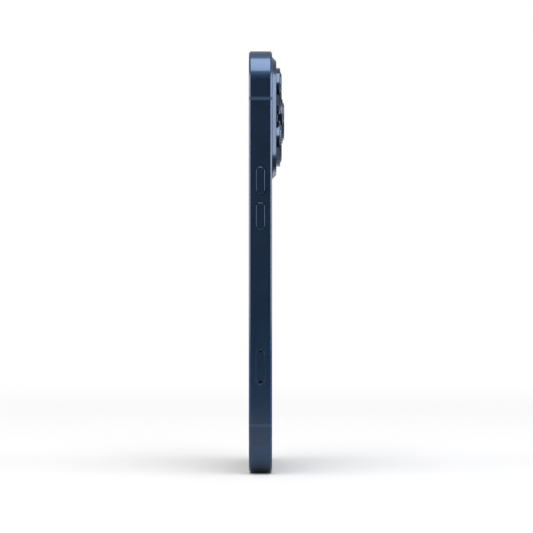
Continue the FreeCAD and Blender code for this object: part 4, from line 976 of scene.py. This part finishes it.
def make_rows_tree():
    """Copies of a piece in columns along X and rows along Y, centred on the middle."""
    tree, given, out = start_tree(
        "rows_of_a_piece", Piece="Object", Columns="Int", Rows="Int",
        ColumnPitch="Float", RowPitch="Float", Finish="Material",
    )

    def line_of_points(count, pitch, axis):
        """Points along one axis, with their middle at nothing."""
        count, pitch = given.outputs[count], given.outputs[pitch]
        reach = math_node(tree, "MULTIPLY", math_node(tree, "SUBTRACT", count, 1), pitch)
        start = math_node(tree, "MULTIPLY", reach, -0.5)
        return feed(tree, "GeometryNodeMeshLine", {
            "Count": count, "Start Location": vector_of(tree, axis, start),
            "Offset": vector_of(tree, axis, pitch),
        })

    spread = feed(tree, "GeometryNodeInstanceOnPoints", {
        "Points": line_of_points("Columns", "ColumnPitch", "X"),
        "Instance": line_of_points("Rows", "RowPitch", "Y"),
    })
    source = feed(tree, "GeometryNodeObjectInfo", {"Object": given.outputs["Piece"]}, "Geometry")
    pieces = {"Points": realize(tree, spread), "Instance": source}
    return end_tree(tree, given, out, feed(tree, "GeometryNodeInstanceOnPoints", pieces))


ROWS_TREE = make_rows_tree()
FLAT = "flat"
FACES[FLAT] = (Vector((1, 0, 0)), Vector((0, 1, 0)), Vector((0, 0, 1)))


def stand_on(piece, face, centre, out):
    """Turns a flat-made piece onto a face: its own X and Y become across and up."""
    across, up, outwards = FACES[face]
    turn = Matrix((across, up, outwards)).transposed().to_4x4()
    piece.data.transform(Matrix.Translation(place_on(face, *centre, out)) @ turn)
    if turn.determinant() < 0:
        piece.data.flip_normals()
    return piece


def rows_of(name, pattern, columns, rows, column_pitch, row_pitch, finish):
    """Sets a pattern piece out in rows and removes the pattern."""
    made = run_tree(
        name, ROWS_TREE, Piece=pattern, Columns=columns, Rows=rows,
        ColumnPitch=column_pitch * MM, RowPitch=row_pitch * MM, Finish=finish,
    )
    bpy.data.objects.remove(pattern)
    return made


def pad(width, height, thickness, finish):
    """One small plate with eased edges, lying flat."""
    ease = min(0.03, thickness / 2)
    levels = [(0, 0), *eased(thickness, ease, steps=2)]
    return stack("pad", FLAT, rounded(width, height, min(width, height) / 5, 3), levels, finish)


print("trees:", [tree.name for tree in bpy.data.node_groups])

# %% [markdown]
# The access card is a small slip of plastic with one corner cut off, so that it only fits one way,
# and two rows of gold contacts on its face. The contacts are one pattern set out by the tree.

# %% Access card
CUT_CORNER = 2.2


def card_outline(inset):
    """A rounded rectangle with its first corner cut straight."""
    corner_points = 5
    points = rounded(card_size.x, card_size.z, 0.5, corner_points - 1)(inset)
    half_w, half_h = card_size.x / 2 - inset, card_size.z / 2 - inset
    for i in range(corner_points):
        share = i / (corner_points - 1)
        points[i] = (half_w - share * CUT_CORNER, half_h - (1 - share) * CUT_CORNER)
    return points


card = stack(
    "access_card_blank", "back", card_outline, slab(card_low.y, card_high.y, 0.04), white_card,
    (card_middle.x, card_middle.z),
)
finish_piece(card, "card_tray", "white_card", "access_card")
contacts = rows_of("card_contacts", pad(2.0, 1.4, 0.02, gold_pad), 4, 2, 2.3, 3.4, gold_pad)
stand_on(contacts, "back", (card_middle.x, card_middle.z), card_high.y)
finish_piece(contacts, "card_tray", "copper")

# %% [markdown]
# The front glass is one sheet with a slot for the earpiece and a clear spot for the front camera. It
# sits a hair inside the band and its edge is rounded over. The clear spot is a disc of its own, set
# flush in the black glass, so that the small camera under it can be seen.

# %% Front glass
GLASS_EDGE = 0.3
NO_FLARE = 0.0005
GLASS_RADIUS = OUTER_RADIUS - GLASS_INSET
slot_low, slot_high = span("earpiece_mesh")
EARPIECE = (slot_high.x - slot_low.x, slot_high.z - slot_low.z)
EARPIECE_Z = middle("earpiece_mesh").z
SELFIE_RADIUS = 2.0
SELFIE_Z = HEIGHT - 7.7
glass_shape = rounded(2 * glass_high.x, glass_high.z - glass_low.z, GLASS_RADIUS, 24)

front_glass = stack(
    "front_glass_sheet", "front", glass_shape,
    [(0, -FRONT_INSIDE), *eased(HALF_DEPTH, GLASS_EDGE, steps=6)], screen_glass, (0, MIDDLE_Z),
)
slot_shape = pill(EARPIECE[0] + 2 * GLASS_GAP, EARPIECE[1] + 2 * GLASS_GAP)
cut(
    front_glass,
    hole_tool("front", slot_shape, HALF_DEPTH, THROUGH, (0, EARPIECE_Z), 0.05),
    hole_tool("front", disc(SELFIE_RADIUS, 24), HALF_DEPTH, THROUGH, (0, SELFIE_Z), NO_FLARE),
)
finish_piece(front_glass, "phone", "screen_glass", "front_glass")

clear_spot = stack(
    "selfie_window", "front", disc(SELFIE_RADIUS - 0.01, 24),
    [(0, -FRONT_INSIDE), (0, HALF_DEPTH - 0.01), (0.01, HALF_DEPTH)], lens_glass, (0, SELFIE_Z),
)
finish_piece(clear_spot, "phone", "lens_glass")

# %% [markdown]
# Round parts are turned: an outline of radius and depth is carried once round an axis. Every corner
# of the outline gets its own small easing first, because even sharp-looking turned metal has a fine
# round on its edges, and that is where it glints.

# %% Turning tools
TURN_STEPS = 96


def turned(name, points, centre, finish, turn_steps=TURN_STEPS):
    """A solid turned about an axis along Y through (x, z), from (radius, y, ease) corners."""
    outline = ease_corners(points)
    work = bmesh.new()
    loops = []
    for step in range(turn_steps):
        angle = step / turn_steps * 4 * QUARTER
        out = (math.cos(angle), math.sin(angle))
        loops.append(loop_of(work, [
            Vector((centre[0] + p.x * out[0], p.y, centre[1] + p.x * out[1])) * MM for p in outline
        ]))
    join_loops(work, [*loops, loops[0]])
    return close_shell(name, work, finish)


def dome(radius, base, rise, steps=8):
    """Outline points of a shallow glass dome, from its rim in to the axis."""
    sphere = (radius ** 2 + rise ** 2) / (2 * rise)
    widest = math.asin(radius / sphere)
    angles = [widest * (1 - step / steps) for step in range(steps + 1)]
    return [(sphere * math.sin(a), base + rise - sphere * (1 - math.cos(a)), 0) for a in angles]

# %% [markdown]
# The back is one glass that is moulded up into a plateau for the cameras. The plateau's sides slope
# at 45 degrees, and its top edge is rounded. The sheet and the plateau are two stacks united, then
# hollowed under the plateau and drilled for three lens rings and two windows.

# %% Back glass
PLATEAU_INSET = 2.0
PLATEAU_RADIUS = 8.5
PLATEAU_EDGE, PLATEAU_ROOT = 0.3, 0.38
HOLLOW_INSET = 2.6
STEM_RADIUS, DRILL_DEPTH = 7.2, 1.5
WINDOW_RADIUS = (span("flash_window")[1].x - span("flash_window")[0].x) / 2
lens_at = {name: middle(f"lens_ring_{name}") for name in ("upper", "lower", "far")}
near_ring = span("lens_ring_upper")
RING_RADIUS = (near_ring[1].x - near_ring[0].x) / 2
plateau_right = HALF_WIDTH - PLATEAU_INSET
plateau_top_z = HEIGHT - PLATEAU_INSET
edge_to_near = plateau_right - lens_at["upper"].x
plateau_left = lens_at["far"].x - edge_to_near
plateau_low_z = lens_at["lower"].z - (plateau_top_z - lens_at["upper"].z)
PLATEAU_SIZE = (plateau_right - plateau_left, plateau_top_z - plateau_low_z)
plateau_centre = ((plateau_right + plateau_left) / 2, (plateau_top_z + plateau_low_z) / 2)
rise = PLATEAU_TOP - HALF_DEPTH

back_glass = stack(
    "back_glass_sheet", "back", glass_shape,
    [(0, BACK_INSIDE), *eased(HALF_DEPTH, GLASS_EDGE, steps=6)], blue_back_glass, (0, MIDDLE_Z),
)
slope = ease_corners([
    (-PLATEAU_ROOT, HALF_DEPTH - 0.2, 0), (-PLATEAU_ROOT, HALF_DEPTH + 0.004, 0),
    (0, HALF_DEPTH, PLATEAU_ROOT),
    (rise, PLATEAU_TOP, PLATEAU_EDGE), (rise + 2, PLATEAU_TOP, 0),
], steps=6)
plateau_levels = [(point.x, point.y) for point in slope[:-1]]
plateau_shape = rounded(*PLATEAU_SIZE, PLATEAU_RADIUS, 24)
plateau = stack("plateau", "back", plateau_shape, plateau_levels, blue_back_glass, plateau_centre)
combine(back_glass, plateau, "UNION")
hollow = stack(
    "hollow", "back", rounded(PLATEAU_SIZE[0] - 2 * HOLLOW_INSET, PLATEAU_SIZE[1] - 2 * HOLLOW_INSET,
                              PLATEAU_RADIUS - HOLLOW_INSET),
    [(0, BACK_INSIDE - 1), (0, HOLLOW_TOP)], blue_back_glass, plateau_centre,
)
combine(back_glass, hollow, "DIFFERENCE")
drills = [(centre, disc(STEM_RADIUS, 24)) for centre in lens_at.values()]
drills += [(middle(node), disc(WINDOW_RADIUS, 16)) for node in ("flash_window", "depth_sensor_window")]
cut(back_glass, *(
    hole_tool("back", shape, PLATEAU_TOP, DRILL_DEPTH, (centre.x, centre.z), NO_FLARE)
    for centre, shape in drills
))
finish_piece(back_glass, "phone", "blue_back_glass", "back_glass")
print(f"plateau {PLATEAU_SIZE[0]:.2f} x {PLATEAU_SIZE[1]:.2f} mm, {rise:.2f} mm high")

# %% [markdown]
# Each camera stands in a stepped ring of polished metal: an outer ring, and a raised lip that holds
# the cover glass. The far ring is taller and has a low foot. All three are one recipe of turned
# corners with different numbers.

# %% Lens rings
LIP_WALL, COVER_PROUD, COVER_THICKNESS, RING_BORE = 0.5, 0.17, 0.8, 5.6
NEAR_RING = {"radius": RING_RADIUS, "top": HALF_DEPTH + 2.87, "lip": 6.6}
FAR_RING = {"radius": 8.0, "top": HALF_DEPTH + 3.86, "lip": 6.75}
FOOT_RADIUS, FOOT_RISE = 8.3, 0.5
LENSES = {"upper": NEAR_RING, "lower": NEAR_RING, "far": FAR_RING}


def make_lens_ring(name, radius, top, lip):
    lip_top = span(f"lens_ring_{name}")[1].y
    seat = lip_top + COVER_PROUD - COVER_THICKNESS
    pocket = lip - LIP_WALL
    corners = [
        (RING_BORE, HOLLOW_TOP, 0), (RING_BORE, seat, 0.08), (pocket, seat, 0), (pocket, lip_top, 0.08),
        (lip, lip_top, 0.14), (lip, top, 0.06), (radius, top, 0.38),
    ]
    if name == "far":
        foot_top = PLATEAU_TOP + FOOT_RISE
        corners += [(radius, foot_top, 0.06), (FOOT_RADIUS, foot_top, 0.16), (FOOT_RADIUS, PLATEAU_TOP, 0)]
    else:
        corners.append((radius, PLATEAU_TOP, 0))
    corners += [(STEM_RADIUS, PLATEAU_TOP, 0), (STEM_RADIUS, HOLLOW_TOP, 0)]
    centre = lens_at[name]
    ring = turned(f"camera_ring_{name}", corners, (centre.x, centre.z), ring_metal, turn_steps=128)
    finish_piece(ring, "phone", "blue_metal", f"lens_ring_{name}", degrees=50)


for name, sizes in LENSES.items():
    make_lens_ring(name, **sizes)

# %% [markdown]
# The covers are clear sapphire with a black printed ring on the underside, which hides the metal and
# leaves a clear eye in the middle. Under it the lens barrel steps inwards in black baffles to a
# coated glass element. The barrel is a body of its own, so it moves when the camera focuses.

# %% Covers and barrels
EYES = {"upper": 3.9, "lower": 4.3, "far": 3.5}
BAFFLES, BAFFLE_DROP, BARREL_RIM = 5, 0.22, 0.6


def make_cover(name, lip):
    centre = (lens_at[name].x, lens_at[name].z)
    low, high = span(f"lens_cover_{name}")
    rim = lip - LIP_WALL - GLASS_GAP
    cover = turned("cover", [
        (0, low.y, 0), (rim, low.y, 0), (rim, high.y - COVER_PROUD, 0.04), (rim - COVER_PROUD, high.y, 0.06),
        (0, high.y, 0),
    ], centre, lens_glass)
    bore = RING_BORE - GLASS_GAP
    mask = turned("mask", [
        (EYES[name], low.y - 0.02, 0), (EYES[name] + 0.05, low.y - 0.08, 0), (bore, low.y - 0.08, 0),
        (bore, low.y - 0.02, 0),
    ], centre, dark_window)
    both = join_meshes(f"camera_cover_{name}", [cover, mask])
    finish_piece(both, "phone", "lens_glass", f"lens_cover_{name}", degrees=50)


def make_barrel(name):
    """Black steps down to a glass element, like the inside of a camera lens."""
    centre = (lens_at[name].x, lens_at[name].z)
    low, high = span(f"lens_barrel_{name}")
    outside = (high.x - low.x) / 2
    top = high.y
    eye = EYES[name] * 0.72
    corners = [(0, low.y, 0), (outside, low.y, 0.1), (outside, top - 0.3, 0), (outside - 0.3, top, 0.05)]
    shelf = (outside - BARREL_RIM - eye) / BAFFLES
    for i in range(BAFFLES):
        ledge = outside - BARREL_RIM - i * shelf
        corners += [(ledge, top - BAFFLE_DROP * i, 0.03), (ledge, top - BAFFLE_DROP * (i + 1), 0)]
    base = top - BAFFLE_DROP * BAFFLES
    corners += [(eye, base, 0), (eye, base - 0.15, 0), (0, base - 0.15, 0)]
    body = turned("barrel", corners, centre, camera_black)
    glass = turned("glass", [(0, base - 0.2, 0), *dome(eye - 0.02, base - 0.1, 0.5)], centre, lens_element)
    iris = turned("iris", [
        (eye * 0.45, base - 0.14, 0), (eye * 0.45, base + 0.44, 0), (eye * 0.5, base + 0.455, 0),
        (eye * 0.5, base - 0.14, 0),
    ], centre, camera_black)
    whole = join_meshes(f"camera_barrel_{name}", [body, glass, iris])
    finish_piece(whole, f"lens_barrel_{name}", "camera_black", f"lens_barrel_{name}", degrees=50)


for name, sizes in LENSES.items():
    make_cover(name, sizes["lip"])
    make_barrel(name)

# %% [markdown]
# The front camera is a small black housing with a cone of steps and one bright little element, right
# behind its clear spot in the screen.

# %% Front camera
front_low, front_high = span("front_camera")
barrel_back = span("mid_plate")[1].y
block = stack(
    "block", "back", rounded(front_high.x - front_low.x, front_high.x - front_low.x, 0.5),
    slab(barrel_back, front_high.y, 0.1), camera_black, (0, front_low.z + (front_high.x - front_low.x) / 2),
)
front_face = front_low.y
cone = turned("cone", [
    (0, barrel_back, 0), (1.95, barrel_back, 0), (1.95, front_face, 0.05), (1.5, front_face, 0.03),
    (1.4, front_face + 0.25, 0), (1.1, front_face + 0.25, 0.03), (1.0, front_face + 0.5, 0),
    (0, front_face + 0.5, 0),
], (0, SELFIE_Z), camera_black, turn_steps=48)
element = turned("element", [
    (0, front_face + 0.55, 0), (0.98, front_face + 0.5, 0), (0.9, front_face + 0.36, 0.02),
    (0.6, front_face + 0.24, 0.05), (0, front_face + 0.18, 0),
], (0, SELFIE_Z), lens_element, turn_steps=48)
front_camera = join_meshes("selfie_camera", [block, cone, element])
finish_piece(front_camera, "phone", "camera_black", "front_camera", degrees=50)

# %% [markdown]
# A fine mesh keeps dust out of the earpiece and the sound holes. It is woven: each wire passes over
# one and under the next. A tree lays two sets of wires and lifts them in opposite waves, so every
# crossing comes out right for any length, width and pitch.

# %% A tree that weaves a mesh
def skin_of(tree, curve, radius, sides, caps=False):
    """Gives a curve the skin of a round wire."""
    profile = feed(tree, "GeometryNodeCurvePrimitiveCircle", {"Resolution": sides, "Radius": radius})
    swept = {"Curve": curve, "Profile Curve": profile, "Fill Caps": caps}
    return feed(tree, "GeometryNodeCurveToMesh", swept)


def make_weave_tree():
    """Two sets of wires, lifted in opposite waves so that each passes over and under the other."""
    tree, given, out = start_tree(
        "woven_wire", Length="Float", Width="Float", Pitch="Float", Wire="Float", Finish="Material",
    )
    pitch, wire = given.outputs["Pitch"], given.outputs["Wire"]
    along = {"X": given.outputs["Length"], "Y": given.outputs["Width"]}

    def work_out(operation, *values):
        return math_node(tree, operation, *values)

    halves = {axis: work_out("FLOOR", work_out("DIVIDE", work_out("DIVIDE", size, 2), pitch))
              for axis, size in along.items()}
    skins = []
    for axis, across, lift in (("X", "Y", 1), ("Y", "X", -1)):
        reach = work_out("MULTIPLY", halves[axis], pitch)
        line = feed(tree, "GeometryNodeCurvePrimitiveLine", {
            "Start": vector_of(tree, axis, work_out("MULTIPLY", reach, -1)),
            "End": vector_of(tree, axis, reach),
        })
        samples = work_out("ADD", work_out("MULTIPLY", halves[axis], 4), 1)
        fine = feed(tree, "GeometryNodeResampleCurve", {"Curve": line, "Count": samples})
        row_start = work_out("MULTIPLY", work_out("MULTIPLY", halves[across], pitch), -1)
        places = feed(tree, "GeometryNodeMeshLine", {
            "Count": work_out("ADD", work_out("MULTIPLY", halves[across], 2), 1),
            "Start Location": vector_of(tree, across, row_start), "Offset": vector_of(tree, across, pitch),
        })
        spread = feed(tree, "GeometryNodeInstanceOnPoints", {"Points": places, "Instance": fine})
        wires = realize(tree, spread)
        where = feed(tree, "GeometryNodeInputPosition")
        split = add_node(tree, "ShaderNodeSeparateXYZ", {0: where})
        waves = [
            work_out("COSINE", work_out("MULTIPLY", work_out("DIVIDE", split.outputs[a], pitch), math.pi))
            for a in ("X", "Y")
        ]
        height = work_out("MULTIPLY", work_out("MULTIPLY", *waves), work_out("MULTIPLY", wire, lift * 0.5))
        lifted = vector_of(tree, "Z", height)
        bent = feed(tree, "GeometryNodeSetPosition", {"Geometry": wires, "Offset": lifted})
        skins.append(skin_of(tree, bent, work_out("DIVIDE", wire, 2), 5, caps=True))
    both = add_node(tree, "GeometryNodeJoinGeometry")
    for skin in skins:
        fill(both, {"Geometry": skin})
    return end_tree(tree, given, out, both.outputs["Geometry"])


WEAVE_TREE = make_weave_tree()


def weave(name, length, width, pitch, wire):
    """A strip of woven mesh, with its sizes in millimetres."""
    return run_tree(
        name, WEAVE_TREE, Length=length * MM, Width=width * MM, Pitch=pitch * MM, Wire=wire * MM,
        Finish=steel_mesh,
    )


# %% [markdown]
# One strip of mesh goes in the earpiece slot, and one behind each row of sound holes, just inside the
# band. All three come from the same tree.

# %% Meshes
earpiece = weave("earpiece_weave", EARPIECE[0] - 0.1, EARPIECE[1], 0.1, 0.045)
stand_on(earpiece, "front", (0, EARPIECE_Z), -slot_low.y - 0.06)
finish_piece(earpiece, "phone", "steel_mesh", "earpiece_mesh", degrees=60)

mesh_low, mesh_high = span("dust_meshes")
vent_row = VENT_PITCH * (VENT_COUNT - 1)
strips = []
for side in (-1, 1):
    strip = weave("strip", vent_row + 2 * VENT_RADIUS + 0.6, mesh_high.y - mesh_low.y, 0.16, 0.07)
    stand_on(strip, "bottom", (side * (VENT_START + vent_row / 2), 0), -mesh_low.z - 0.075)
    strips.append(strip)
finish_piece(join_meshes("sound_hole_meshes", strips), "phone", "steel_mesh", "dust_meshes", degrees=60)

# %% [markdown]
# The flash sits behind a clear window: nine small yellow cells in a square, under a lens with fine
# rings. The rings are a tree of circles, each a step wider than the last.

# %% Flash and depth sensor
def make_rings_tree():
    """Circles about one centre, each a step wider than the last."""
    tree, given, out = start_tree(
        "concentric_rings", Rings="Int", First="Float", Step="Float", Wire="Float", Finish="Material",
    )
    places = feed(tree, "GeometryNodeMeshLine", {"Offset": (0, 0, 0), "Count": given.outputs["Rings"]})
    circle = feed(tree, "GeometryNodeCurvePrimitiveCircle", {"Resolution": 48, "Radius": 1.0})
    number = feed(tree, "GeometryNodeInputIndex")
    size = math_node(tree, "MULTIPLY_ADD", number, given.outputs["Step"], given.outputs["First"])
    spread = feed(tree, "GeometryNodeInstanceOnPoints", {"Points": places, "Instance": circle, "Scale": size})
    return end_tree(tree, given, out, skin_of(tree, realize(tree, spread), given.outputs["Wire"], 6))


flash_low, flash_high = span("flash_window")
flash_centre = (middle("flash_window").x, middle("flash_window").z)
sensor_centre = (middle("depth_sensor_window").x, middle("depth_sensor_window").z)


def make_window(name, centre, finish):
    return turned(name, [
        (0, flash_low.y, 0), (WINDOW_RADIUS - 0.02, flash_low.y, 0),
        (WINDOW_RADIUS - 0.02, flash_high.y, 0.06),
        (0, flash_high.y, 0),
    ], centre, finish)


flash_cover = make_window("flash_cover", flash_centre, flash_lens)
finish_piece(flash_cover, "phone", "flash_lens", "flash_window", degrees=50)
sensor_cover = make_window("depth_sensor_cover", sensor_centre, dark_window)
finish_piece(sensor_cover, "phone", "dark_window", "depth_sensor_window", degrees=50)
board_top = span("flash_board")[1].y
cells = rows_of("flash_cells", pad(0.62, 0.62, 0.06, flash_glow), 3, 3, 0.72, 0.72, flash_glow)
stand_on(cells, "back", flash_centre, board_top)
finish_piece(cells, "phone", "flash_lens")
rings = run_tree("flash_rings", make_rings_tree(), Rings=9, First=0.9 * MM, Step=0.22 * MM, Wire=0.04 * MM,
                 Finish=flash_lens)
stand_on(rings, "back", flash_centre, flash_low.y - 0.05)
finish_piece(rings, "phone", "flash_lens", degrees=60)

# %% [markdown]
# Two screws hold the port to the band. Each has a flat head with a five-lobed socket, which any
# suitable driver fits. One screw is made with care, and the row tree sets out the pair.

# %% Screws
LOBES = 5


def lobed(radius, depth):
    """A round outline with shallow lobes, drawn with an inset."""

    def draw(inset):
        points = []
        for step in range(LOBES * 8):
            angle = step / (LOBES * 8) * 4 * QUARTER
            reach = radius - inset + depth * math.cos(LOBES * angle)
            points.append((reach * math.cos(angle), reach * math.sin(angle)))
        return points

    return draw


def make_screw(head, head_height, shank, length):
    """A screw standing on its head's underside, with its head up."""
    blank = stack("screw", FLAT, disc(head), [
        (head - shank + 0.1, -length), (head - shank, 0.1 - length), (head - shank, 0), (0, 0),
        *eased(head_height, 0.12),
    ], steel)
    socket = stack("socket", FLAT, lobed(head * 0.48, head * 0.09), [
        (-0.04, head_height + 0.5), (-0.04, head_height), (0, head_height - 0.04), (0, head_height * 0.45),
    ], steel)
    return combine(blank, socket, "DIFFERENCE")


SCREW_REACH = WALL + 2.2
screw_length = SCREW_REACH - SCREW_SINK - SCREW_HEAD_HEIGHT
screw_pattern = make_screw(SCREW_HEAD, SCREW_HEAD_HEIGHT, SCREW_SHANK, screw_length)
bottom_screws = rows_of("bottom_screw_pair", screw_pattern, 2, 1, 2 * SCREW_X, 0.0, steel)
stand_on(bottom_screws, "bottom", (0, 0), -SCREW_SINK - SCREW_HEAD_HEIGHT)
finish_piece(bottom_screws, "phone", "steel", "bottom_screws")

board_low, board_high = span("board_screws")
small_head, small_height, small_shank = 0.9, 0.35, 0.5
columns_apart = board_high.x - board_low.x - 2 * small_head
rows_apart = board_high.z - board_low.z - 2 * small_head
small_pattern = make_screw(small_head, small_height, small_shank, board_high.y - small_height - board_low.y)
board_screws = rows_of("board_screw_set", small_pattern, 2, 2, columns_apart, rows_apart, steel)
board_middle = middle("board_screws")
stand_on(board_screws, "back", (board_middle.x, board_middle.z), board_high.y - small_height)
finish_piece(board_screws, "phone", "steel", "board_screws")

# %% [markdown]
# The port's contact tongue is a thin plastic blade with a rounded tip and a row of gold contacts on
# each side. The shell round it is the model's own, smoothed, because only its mouth can be seen.
# So are the card reader and the parts of the ejector, which are all but hidden.

# %% Port
tongue_low, tongue_high = span("port_tongue")
tongue = stack(
    "port_tongue_blade", "bottom",
    rounded(tongue_high.x - tongue_low.x, tongue_high.y - tongue_low.y, 0.3),
    [(0, -tongue_high.z), *eased(-tongue_low.z, 0.22)], black_plastic,
)
finish_piece(tongue, "phone", "black_plastic", "port_tongue")
for name, face, side in (("front", "front", -1), ("back", "back", 1)):
    row = rows_of(f"port_contacts_{name}", pad(0.28, 3.4, 0.03, gold_pad), 12, 1, 0.5, 0.0, gold_pad)
    stand_on(row, face, (0, tongue_low.z + 0.5 + 1.7), tongue_high.y)
    finish_piece(row, "phone", "copper")


def smooth_copy(name, node, finish=None):
    """A merged, smooth-shaded copy of a node's own mesh, which stands for the node."""
    work = bmesh.new()
    work.from_mesh(frame["nodes"][node].data)
    bmesh.ops.remove_doubles(work, verts=work.verts, dist=1e-7)
    mesh = bpy.data.meshes.new(name)
    work.to_mesh(mesh)
    work.free()
    mesh.materials.append(finish or FINISHES[SLOT[node]])
    return finish_piece(new_object(name, mesh), BODY[node], SLOT[node], node)


for name, node in (("port_shell", "charging_port"), ("reader_box", "card_reader"),
                   ("eject_rocker", "eject_lever"), ("eject_slide", "eject_kicker")):
    smooth_copy(name, node)
smooth_copy("eject_pin_rod", "eject_rod", dark_steel)
